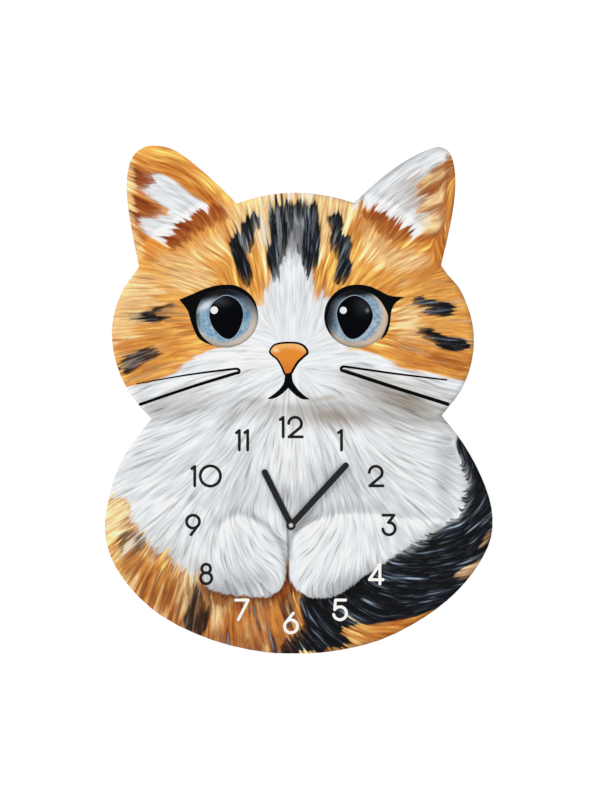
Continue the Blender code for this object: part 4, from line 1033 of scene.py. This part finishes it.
def make_sheet():
    outline = sheet_outline()
    low_x, low_z, high_x, high_z = box_of(outline, 2 * PAINT_STEP)
    xs = np.arange(low_x, high_x, PAINT_STEP)
    zs = np.arange(low_z, high_z, PAINT_STEP)
    x, z = np.meshgrid(xs, zs)
    edge = outline_distance(outline, x, z)
    coat = paint_coat(x, z, edge)
    shape = np.maximum(edge, HOLE_RADIUS - np.hypot(x, z))
    points, faces = clipped_grid(shape, xs, zs)
    col, row = (points[:, 0] - xs[0]) / PAINT_STEP, (points[:, 1] - zs[0]) / PAINT_STEP
    material = painted_finish("printed_coat", 0.35, 0.03, rough=(0.36, 0.48), specular=0.12)
    piece = plate("printed_coat", points, faces, FACE_BACK, SHEET_FRONT, material,
                  sample(coat, col, row))
    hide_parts("printed_facing")


# ---- Eyes --------------------------------------------------------------------------------------
# Outlines in mm. A lid is made of smooth runs that meet at its tips.
LEFT_BALL = (-51.7, 164.9, 25.9, 24.8)
RIGHT_BALL = (51.9, 164.9, 25.7, 25.0)
LEFT_PUPIL = [
    (-51.5, 181.3), (-41.6, 176.7), (-37.7, 166.2), (-41.6, 153), (-47.9, 147.1), (-54.8, 149),
    (-62, 156.9), (-64.6, 166.8), (-61.4, 175.8),
]
RIGHT_PUPIL = [
    (50.6, 181.3), (60.4, 176), (64.7, 166.2), (61.8, 156.9), (54.5, 149), (47.0, 147.1),
    (40.7, 153), (36.1, 166.8), (40.7, 176.7),
]
LEFT_LID = [
    [(-88.3, 178), (-78.5, 182.2), (-67.9, 186.7), (-56.1, 189.6), (-43.9, 189.2), (-33.8, 183.6),
     (-28.2, 176.2), (-26.4, 168.5)],
    [(-26.4, 168.5), (-29.4, 175.0), (-35.8, 181.6), (-46.9, 186.2), (-60, 185.4), (-69.5, 179.8),
     (-74.4, 170.1), (-74.6, 159.6), (-70.4, 149.4), (-61.4, 141.4)],
    [(-61.4, 141.4), (-72.5, 147.1), (-78.2, 158.3), (-81.8, 169.5), (-88.3, 178)],
]
RIGHT_LID = [
    [(26.2, 163), (27.5, 171.4), (30.2, 178), (36.1, 184.6), (44, 188.3), (53.2, 189.9),
     (62.4, 188.5), (70.3, 184.9), (78.2, 181.2), (90, 180)],
    [(90, 180), (85.5, 177.7), (81.5, 174), (79.2, 168.5), (78.5, 162), (77.2, 155.2), (74.5, 149.6),
     (70.3, 146.1)],
    [(70.3, 146.1), (72.9, 150.6), (75.3, 156.1), (76.6, 162), (75.8, 168), (69.6, 178.2), (61, 184.2),
     (51.9, 186.2), (43.4, 184.6), (36.6, 180.6), (31.4, 174.4), (28.4, 164)],
    [(28.4, 164), (29.4, 156), (32.8, 149.7)],
    [(32.8, 149.7), (28, 155.6), (26.2, 163)],
]


# How each eye is painted. Tones: the iris's dark and light, and the pale rim. Shadows: (colour,
# strength, way in x, way in z, where it starts and is full, as shares of the radius). Gleams on
# the ball, then in the pupil: (strength, x, z, half length, half width, tilt). Then the round
# glint (x, z, radius), and the seed of the iris's mottle.
LEFT_LOOKS = (
    [(88, 138, 174), (160, 186, 202), (202, 190, 176)],
    [((92, 108, 126), 0.55, 0.30, 0.95, -0.10, 0.45), ((12, 14, 17), 1.0, -0.12, 1.0, 0.42, 0.70),
     ((34, 40, 50), 0.85, 0.62, 0.78, 0.54, 0.88), ((26, 28, 34), 0.95, -1.0, 0.10, 0.68, 0.94),
     ((120, 128, 132), 0.35, -0.2, -1.0, 0.72, 0.95)],
    [(0.70, -67.5, 173.0, 7.5, 2.6, 33)],
    [(0.060, -57.0, 177.0, 7.0, 3.5, -8)],
    (-60.7, 169.7, 3.0),
    3,
)
RIGHT_LOOKS = (
    [(112, 142, 168), (172, 190, 202), (206, 184, 162)],
    [((12, 14, 17), 1.0, -0.12, 1.0, 0.44, 0.72), ((18, 30, 44), 0.95, -1.0, 0.22, 0.36, 0.84),
     ((30, 28, 30), 0.85, -1.0, 0.16, 0.70, 0.92), ((128, 126, 122), 0.35, -0.2, -1.0, 0.74, 0.95)],
    [(0.06, 36.5, 172.5, 5.0, 3.0, 60)],
    [(0.30, 60.3, 169.6, 1.3, 1.5, 0), (0.030, 57.0, 173.0, 6.0, 6.0, 0)],
    (41.3, 169.6, 2.8),
    4,
)
IRIS_RAYS = 40
MOTTLE_CELLS, MOTTLE_RADIUS = 128, 60       # grid of an iris's mottle, and the eye's radius on it
MOTTLE = ((1.2, 0.7), (3.0, 0.35))          # (spread in cells, weight)


def ellipse_distance(ball, x, z):
    cx, cz, rx, rz = ball
    return (np.hypot((x - cx) / rx, (z - cz) / rz) - 1) * min(rx, rz)


def glow(gleams, x, z):
    """Soft spots of light: (strength, x, z, half length, half width, tilt) each."""
    total = sum(strength * np.exp(-tilted(x, z, *ellipse)) for strength, *ellipse in gleams)
    return np.clip(total, 0, 1)


def iris_colour(ball, tones, shadows, gleams, seed):
    """The painter of one eyeball: a mottled iris, its limb and pale rim, shadows and gleams."""
    cx, cz, rx, rz = ball
    deep, pale = (srgb_to_linear(tone) for tone in tones[:2])
    rng = np.random.default_rng(seed)
    spots = [(weight, noise_field((MOTTLE_CELLS, MOTTLE_CELLS), sigma, rng))
             for sigma, weight in MOTTLE]
    fibres = rng.uniform(0, 2 * math.pi, IRIS_RAYS)

    def painter(x, z):
        dx, dz = (x - cx) / rx, (z - cz) / rz
        reach, angle = np.hypot(dx, dz), np.arctan2(dz, dx)
        col, row = (0.5 * (MOTTLE_CELLS - 1) + MOTTLE_RADIUS * way for way in (dx, dz))
        mottle = sum(weight * sample(spot, col, row) for weight, spot in spots)
        ray = sum(np.cos((20 + 3 * n) * angle + fibres[n]) for n in range(IRIS_RAYS)) / 6.0
        light = smoothstep(-1.6, 1.6, mottle + 0.5 * ray)[:, None]
        colour = deep * (1 - light) + pale * light
        colour += toward(colour, tones[2], smoothstep(0.76, 0.92, np.hypot(dx + 0.06, dz - 0.02)))
        for tone, strength, way_x, way_z, start, end in shadows:
            dim = strength * smoothstep(start, end, dx * way_x + dz * way_z)
            colour += toward(colour, tone, dim)
        colour *= (1 - 0.45 * smoothstep(0.90, 1.0, reach))[:, None]
        return colour + toward(colour, (236, 240, 246), glow(gleams, x, z))
    return painter


def pupil_colour(gleams):
    black = srgb_to_linear((2, 4, 7))
    return lambda x, z: black + toward(black, (196, 206, 210), glow(gleams, x, z))


def make_eye(side, ball, pupil, lid, looks, black, rim, bright):
    """One eye: eyeball, pupil with its pale rim, lid and a round glint, in layers."""
    tones, shadows, gleams, glints, (gx, gz, radius), seed = looks
    eyeball = painted_finish(f"{side}_iris_ink", 0.5, 0.05, rough=(0.22, 0.32), specular=0.15)
    cx, cz, rx, rz = ball
    area = (cx - rx - 1, cz - rz - 1, cx + rx + 1, cz + rz + 1)
    ink(f"{side}_eyeball", lambda x, z: ellipse_distance(ball, x, z), area, BASE, eyeball,
        painter=iris_colour(ball, tones, shadows, gleams, seed))
    egg = smooth_curve(pupil, True)
    ink_outline(f"{side}_pupil_rim", egg, LINE, rim, grow=0.55, margin=2)
    # the pupil's ink: black with painted gleams of reflected light
    gleaming_pupil_ink = painted_finish(f"{side}_pupil_ink", 0.5, 0.03, rough=(0.22, 0.32), specular=0.05)
    ink_outline(f"{side}_pupil", egg, FILL, gleaming_pupil_ink, painter=pupil_colour(glints))
    ink_outline(f"{side}_lid", sharp_outline(*lid), LID, black)
    ink(f"{side}_glint", lambda x, z: np.hypot(x - gx, z - gz) - radius,
        (gx - radius - 1, gz - radius - 1, gx + radius + 1, gz + radius + 1), GLINT, bright)


# ---- Nose, mouth and whiskers ------------------------------------------------------------------
NOSE = [
    (-17.2, 137.2), (-14, 142.2), (-8.7, 144), (-1.4, 144.6), (5.8, 144), (11.1, 141.4),
    (13.7, 136.1), (9.7, 131.9), (5.8, 128), (2.5, 122.7), (0.5, 119.4), (-2.8, 118.4),
    (-5.4, 119.4), (-8, 125.3), (-11.3, 130.6), (-15.3, 133.9),
]
MOUTH = [
    [(-4.5, 119.4), (-5.1, 113.5), (-7.4, 108.9), (-12, 104.3), (-18.2, 99.8)],
    [(-18.2, 99.8), (-14, 100.1), (-8.7, 102.7), (-4.5, 106.3), (-2.1, 108.6)],
    [(-2.1, 108.6), (1.2, 105.1), (5.8, 101.3), (9.7, 99.5), (14.3, 99.4)],
    [(14.3, 99.4), (9.1, 103.2), (4.5, 108), (1.2, 113.5), (0.5, 119.4)],
    [(0.5, 119.4), (-4.5, 119.4)],
]
# Each pair of whiskers is one line that runs in, round a hairpin and back out: (points, half
# widths). A far end, the start of the hairpin, its end and the other far end set the widths.
LEFT_WHISKERS = (
    [(-121.7, 111.6), (-83, 118.4), (-47, 123.1)] + arc(-42.3, 121.6, 1.5, 90, -80, 30)
    + [(-47, 118.9), (-82, 108), (-119.1, 95.3)],
    [(0, 0.45), (2, 0.90), (8, 1.15), (9, 1.20), (11, 1.20)],
)
RIGHT_WHISKERS = (
    [(122.8, 114.6), (82, 119.6), (46, 124.7)] + arc(41.0, 123.4, 1.5, 90, 260, 30)
    + [(46, 120.4), (82, 108.6), (123.8, 95.5)],
    [(0, 0.65), (2, 0.95), (8, 1.20), (9, 1.45), (11, 1.45)],
)


def nose_colour(x, z):
    """Orange, with a pale painted band of light along the top, a painted highlight at its upper left
    and a deeper tip.
    """
    band = smoothstep(137.5, 142.5, z + 0.02 * (x + 2) ** 2)
    low = smoothstep(134.0, 120.0, z)[:, None]
    colour = srgb_to_linear((228, 138, 44)) * (1 - low) + srgb_to_linear((214, 118, 34)) * low
    colour += toward(colour, (244, 190, 118), 0.75 * band)
    # a painted highlight at the upper left of the nose
    spot = np.exp(-(((x + 11.8) / 2.4) ** 2 + ((z - 138.0) / 1.5) ** 2))
    return colour + toward(colour, (255, 226, 180), 0.7 * spot)


def make_snout(black):
    outer = smooth_curve(NOSE, True)
    ink_outline("nose_line", outer, BASE, black, grow=0.3, step=FINE_GRID)
    skin = painted_finish("nose_ink", 0.5, 0.03, rough=(0.24, 0.34), specular=0.3)
    ink_outline("nose", outer, FILL, skin, grow=-1.35, shift=(0.25, -0.1), step=FINE_GRID,
                painter=nose_colour)
    ink_outline("mouth", sharp_outline(*MOUTH), LINE, black, grow=0.25, step=FINE_GRID)
    for side, (points, widths) in (("left", LEFT_WHISKERS), ("right", RIGHT_WHISKERS)):
        line = smooth_curve(points, False, 5)
        half = np.interp(np.linspace(0, len(points) - 1, len(line)), *zip(*widths))
        ink(f"{side}_whiskers", lambda x, z: line_distance(line, x, z, half), box_of(line, 2),
            LINE, black, step=FINE_GRID)


# ---- Numerals ----------------------------------------------------------------------------------
# Each figure: its width and its lines, in mm from its bottom left corner.
TOP = NUMERAL_HEIGHT - INK_HALF
FOOT = INK_HALF
FIGURES = {
    "0": (18.2, [arc(9.1, 0.5 * NUMERAL_HEIGHT, 8.0, 0, 360)]),
    "1": (4.4, [[(1.1, TOP - 1.9), (3.4, TOP - 0.1), (3.4, FOOT)]]),
    "2": (12.6, [arc(6.2, TOP - 5.1, 5.1, 178, -38) + [(1.4, FOOT), (11.9, FOOT)]]),
    "3": (12.2, [[(1.3, TOP), (10.0, TOP), (5.7, 10.7)], arc(6.1, FOOT + 4.9, 4.9, 96, -176)]),
    "4": (12.8, [[(12.0, 4.4), (1.3, 4.4), (9.6, TOP), (9.6, FOOT)]]),
    "5": (12.4, [[(10.6, TOP), (2.7, TOP), (2.0, 9.2)], arc(6.2, FOOT + 5.1, 5.1, 146, -168)]),
    "6": (12.6, [arc(6.3, FOOT + 5.1, 5.1, 0, 360), [(2.1, 9.1), (8.1, TOP)]]),
    "7": (12.0, [[(0.9, TOP), (10.9, TOP), (3.1, FOOT)]]),
    "8": (11.6, [arc(5.8, TOP - 3.5, 3.5, 0, 360), arc(5.8, FOOT + 4.4, 4.4, 0, 360)]),
    "9": (12.6, [arc(6.3, TOP - 5.1, 5.1, 0, 360), [(10.7, 9.2), (4.7, FOOT)]]),
}
PALE_HOURS = (4, 5, 6, 7)


def numeral_lines(hour):
    """The lines of an hour's numeral, placed on the ring."""
    figures = [FIGURES[figure] for figure in str(hour)]
    total = sum(width for width, _ in figures) + NUMERAL_GAP * (len(figures) - 1)
    angle = math.radians(30 * hour)
    left = NUMERAL_RING * math.sin(angle) - 0.5 * total
    foot = NUMERAL_RING * math.cos(angle) - 0.5 * NUMERAL_HEIGHT
    lines = []
    for width, strokes in figures:
        lines += [[(left + px, foot + pz) for px, pz in stroke] for stroke in strokes]
        left += width + NUMERAL_GAP
    return lines


def make_numerals(dark, pale):
    for hour in range(1, 13):
        lines = numeral_lines(hour)
        every = [point for line in lines for point in line]

        def shape(x, z):
            return np.min([line_distance(line, x, z) for line in lines], axis=0) - INK_HALF
        ink(f"numeral_{hour}", shape, box_of(every, 2 * INK_HALF), LINE,
            pale if hour in PALE_HOURS else dark, step=FINE_GRID)


# ---- The CAD nodes' own materials ---------------------------------------------------------------
def fibreboard():
    """Pressed wood fibre: a mottled brown core with fine flecks."""
    material, tree = new_material("fibreboard")
    fleck = grain(tree, 0.5, (1.0, 3.0, 1.0), detail=8.0, roughness=0.7)
    mix = add(tree, "ShaderNodeMix", {})
    mix.data_type = "RGBA"
    mix.blend_type = "MULTIPLY"
    feed(mix, {
        "Factor": 0.5,
        "A": two_tone(tree, fleck, (112, 84, 56), (164, 130, 92)),
        "B": two_tone(tree, grain(tree, 12.0), (196, 186, 172), (255, 250, 240)),
    })
    dress(tree, mix.outputs["Result"], fleck, (0.72, 0.88), 0.06, 0.5)
    return material


def wood():
    """Sanded softwood with its grain along X."""
    material, tree = new_material("sanded_wood")
    rings = add(tree, "ShaderNodeTexWave", {
        "Vector": place(tree, Scale=(0.06, 1.0, 1.0)),
        "Scale": 90.0, "Distortion": 5.0, "Detail": 4.0,
    })
    rings.bands_direction = "Z"
    colour = two_tone(tree, rings.outputs["Fac"], (176, 134, 88), (214, 178, 130))
    dress(tree, colour, grain(tree, 0.4, (0.08, 1.0, 1.0)), (0.5, 0.7), 0.04, 0.4)
    return material


def battery_wrap():
    """A plain wrapped cell: a blue-grey sleeve with a copper-coloured end band and steel ends."""
    material, tree = new_material("battery_wrap")
    low, high = (corner[0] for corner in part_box("battery"))
    split = add(tree, "ShaderNodeSeparateXYZ", {"Vector": place(tree)})
    along = add(tree, "ShaderNodeMapRange", {
        "Value": split.outputs["X"], "From Min": low, "From Max": high,
    })
    steel, sleeve, copper = (190, 190, 186), (44, 66, 92), (186, 120, 66)
    stops = ((0.0, steel), (0.03, sleeve), (0.68, copper), (0.95, steel))
    bands = ramp(tree, along.outputs["Result"], stops, "CONSTANT")
    dress(tree, bands, grain(tree, 0.6), (0.24, 0.36), 0.01, 0.15, metallic=0.6)
    return material


def winding():
    """Enamelled wire wound side by side round the core, which runs along X."""
    material, tree = new_material("copper_winding")
    wave = add(tree, "ShaderNodeTexWave", {"Vector": place(tree), "Scale": 900.0})
    wave.bands_direction = "X"
    turns = wave.outputs["Fac"]
    dress(tree, two_tone(tree, turns, (120, 56, 26), (214, 124, 68)), grain(tree, 0.8), (0.25, 0.4),
          0.08, 0.8, height=turns, metallic=0.85)
    return material


def circuit():
    """Green solder mask with copper tracks showing through as a lighter pattern."""
    material, tree = new_material("solder_mask")
    tracks = add(tree, "ShaderNodeTexBrick", {
        "Vector": place(tree, Rotation=(math.radians(90), 0.0, 0.0)),
        "Color1": linear((26, 104, 58)), "Color2": linear((22, 92, 52)),
        "Mortar": linear((64, 142, 84)), "Scale": 60.0, "Mortar Size": 0.012,
        "Brick Width": 0.9, "Row Height": 0.08,
    })
    dress(tree, tracks.outputs["Color"], grain(tree, 0.5), (0.28, 0.4), 0.01, 0.2)
    return material


def node_materials():
    """Every kept CAD node with its material."""
    steel = finish("zinc_steel", (150, 150, 148), (200, 200, 196), 0.5, (0.28, 0.42), 0.01, 0.2, 1.0)
    brushed = finish("brushed_steel", (158, 158, 156), (206, 206, 204), 0.3, (0.26, 0.38), 0.01, 0.3,
                     1.0, stretch=(0.05, 1.0, 1.0))
    acetal = finish("natural_acetal", (226, 226, 220), (240, 240, 236), 1.5, (0.38, 0.5), 0.01, 0.15)
    case = finish("moulded_case", (26, 26, 28), (38, 38, 40), 0.35, (0.46, 0.60), 0.03, 0.45)
    cover = finish("moulded_cover", (30, 30, 32), (42, 42, 44), 0.35, (0.46, 0.60), 0.03, 0.45)
    satin = finish("hand_paint", (28, 29, 31), (36, 37, 39), 0.25, (0.40, 0.50), 0.01, 0.2,
                   specular=0.15)
    return {
        "face_panel": fibreboard(), "hanger_block": wood(), "battery": battery_wrap(),
        "coil_winding": winding(), "circuit_board": circuit(),
        "adhesive_pad": finish("foam_pad", (206, 204, 196), (236, 234, 228), 0.5, (0.85, 0.95),
                               0.15, 0.7),
        "sawtooth_hanger": brushed, "hanger_screw_left": steel, "hanger_screw_right": steel,
        "battery_contact_positive": steel, "battery_contact_negative": steel,
        "quartz_crystal": brushed, "stator": brushed, "coil_core": brushed,
        "movement_case": case, "movement_rear_cover": cover,
        "middle_plate": finish("natural_plate", (214, 216, 210), (222, 224, 218), 1.0, (0.4, 0.55),
                               0.01, 0.2),
        "chip_blob": finish("epoxy_drop", (14, 14, 15), (24, 24, 26), 0.8, (0.12, 0.22), 0.02, 0.2),
        "coil_bobbin": finish("bobbin", (222, 206, 160), (236, 222, 182), 1.0, (0.4, 0.5), 0.01, 0.2),
        "minute_arbor": finish("pale_arbor", (176, 176, 174), (206, 206, 204), 0.4, (0.3, 0.42), 0.01,
                               0.2),
        "hour_wheel": acetal, "motion_wheel": acetal, "second_wheel": acetal,
        "intermediate_wheel": acetal, "third_wheel": acetal, "centre_wheel": acetal,
        "setting_knob": finish("setting_knob", (206, 206, 202), (226, 226, 222), 0.6, (0.4, 0.55),
                               0.02, 0.3),
        "rotor": finish("rotor_magnet", (70, 70, 74), (104, 104, 108), 0.3, (0.3, 0.45), 0.02, 0.3,
                        0.8),
        "minute_hand": satin, "hour_hand": satin,
    }


def paint_nodes():
    for name, material in node_materials().items():
        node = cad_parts[name]
        if not node.material_slots:
            node.data.materials.append(material)
        for slot in node.material_slots:
            slot.material = material


# ---- Light, floor and camera --------------------------------------------------------------------
# In metres and watts.
LAMPS = (
    ("key", (-1.25, -1.35, 0.95), 19.0),
    ("fill", (1.35, -1.25, 0.45), 13.0),
    ("back", (0.4, 1.6, 0.9), 14.0),
)
LAMP_TARGET = (0.0, 0.0, 0.1)
LAMP_SIZE = 1.2
FLOOR_RADIUS, FLOOR_HEIGHT = 1.6, -0.6
WORLD_LIGHT = 0.42                          # how bright the world is as a light
VIEW_CENTRE = (7.1, 98.75)                  # mm: the point of the face the camera looks at
VIEW_DISTANCE = 1492.0                      # mm, from the printed face
LENS = 85.0


def add_area(name, place, power):
    """A square area light that faces the object."""
    light = bpy.data.lights.new(name, "AREA")
    light.shape = "SQUARE"
    light.size = LAMP_SIZE
    light.energy = power
    lamp = new_object(name, light)
    lamp.location = place
    lamp.rotation_euler = (Vector(LAMP_TARGET) - Vector(place)).to_track_quat("-Z", "Y").to_euler()


def make_world():
    """A white studio: pure white where the camera looks past the object, softer as a light."""
    world = bpy.data.worlds.new("studio")
    world.use_nodes = True
    tree = world.node_tree
    path = add(tree, "ShaderNodeLightPath", {})
    strength = add(tree, "ShaderNodeMapRange", {
        "Value": path.outputs["Is Camera Ray"], "To Min": WORLD_LIGHT, "To Max": 1.0,
    })
    feed(tree.nodes["Background"], {
        "Color": (1.0, 1.0, 1.0, 1.0), "Strength": strength.outputs["Result"],
    })
    bpy.context.scene.world = world


def make_floor():
    """A round pale floor, well below the object."""
    mesh = bpy.data.meshes.new("floor")
    rim = [(FLOOR_RADIUS * math.cos(a), FLOOR_RADIUS * math.sin(a), FLOOR_HEIGHT)
           for a in np.radians(np.arange(0, 360, 5))]
    mesh.from_pydata(rim, [], [tuple(range(len(rim)))])
    mesh.materials.append(finish("floor", (226, 226, 224), (234, 234, 232), 60.0, (0.8, 0.9)))
    new_object("floor", mesh)


def make_camera():
    data = bpy.data.cameras.new("camera")
    data.lens = LENS
    camera = new_object("camera", data)
    camera.location = (VIEW_CENTRE[0] * MM, (FACE_FRONT - VIEW_DISTANCE) * MM, VIEW_CENTRE[1] * MM)
    camera.rotation_euler = (math.radians(90), 0.0, 0.0)
    bpy.context.scene.camera = camera


def make_studio():
    for lamp in LAMPS:
        add_area(*lamp)
    make_world()
    make_floor()
    make_camera()
    bpy.context.scene.view_settings.view_transform = "Standard"


def main():
    make_sheet()
    black = ink_finish("black_ink", (3, 4, 6), (9, 10, 13), 0.4, (0.26, 0.38), 0.05)
    dark = ink_finish("numeral_ink", (27, 27, 28), (34, 34, 35), 0.4, (0.30, 0.42), 0.08)
    pale = ink_finish("pale_numeral_ink", (244, 242, 236), (252, 251, 248), 0.4, (0.30, 0.42), 0.25)
    rim = ink_finish("pupil_rim_ink", (132, 152, 170), (168, 184, 198), 0.5, (0.26, 0.36))
    bright = ink_finish("glint_ink", (226, 228, 232), (238, 240, 242), 0.5, (0.26, 0.36))
    make_eye("left", LEFT_BALL, LEFT_PUPIL, LEFT_LID, LEFT_LOOKS, black, rim, bright)
    make_eye("right", RIGHT_BALL, RIGHT_PUPIL, RIGHT_LID, RIGHT_LOOKS, black, rim, bright)
    make_snout(black)
    make_numerals(dark, pale)
    paint_nodes()
    make_studio()


main()
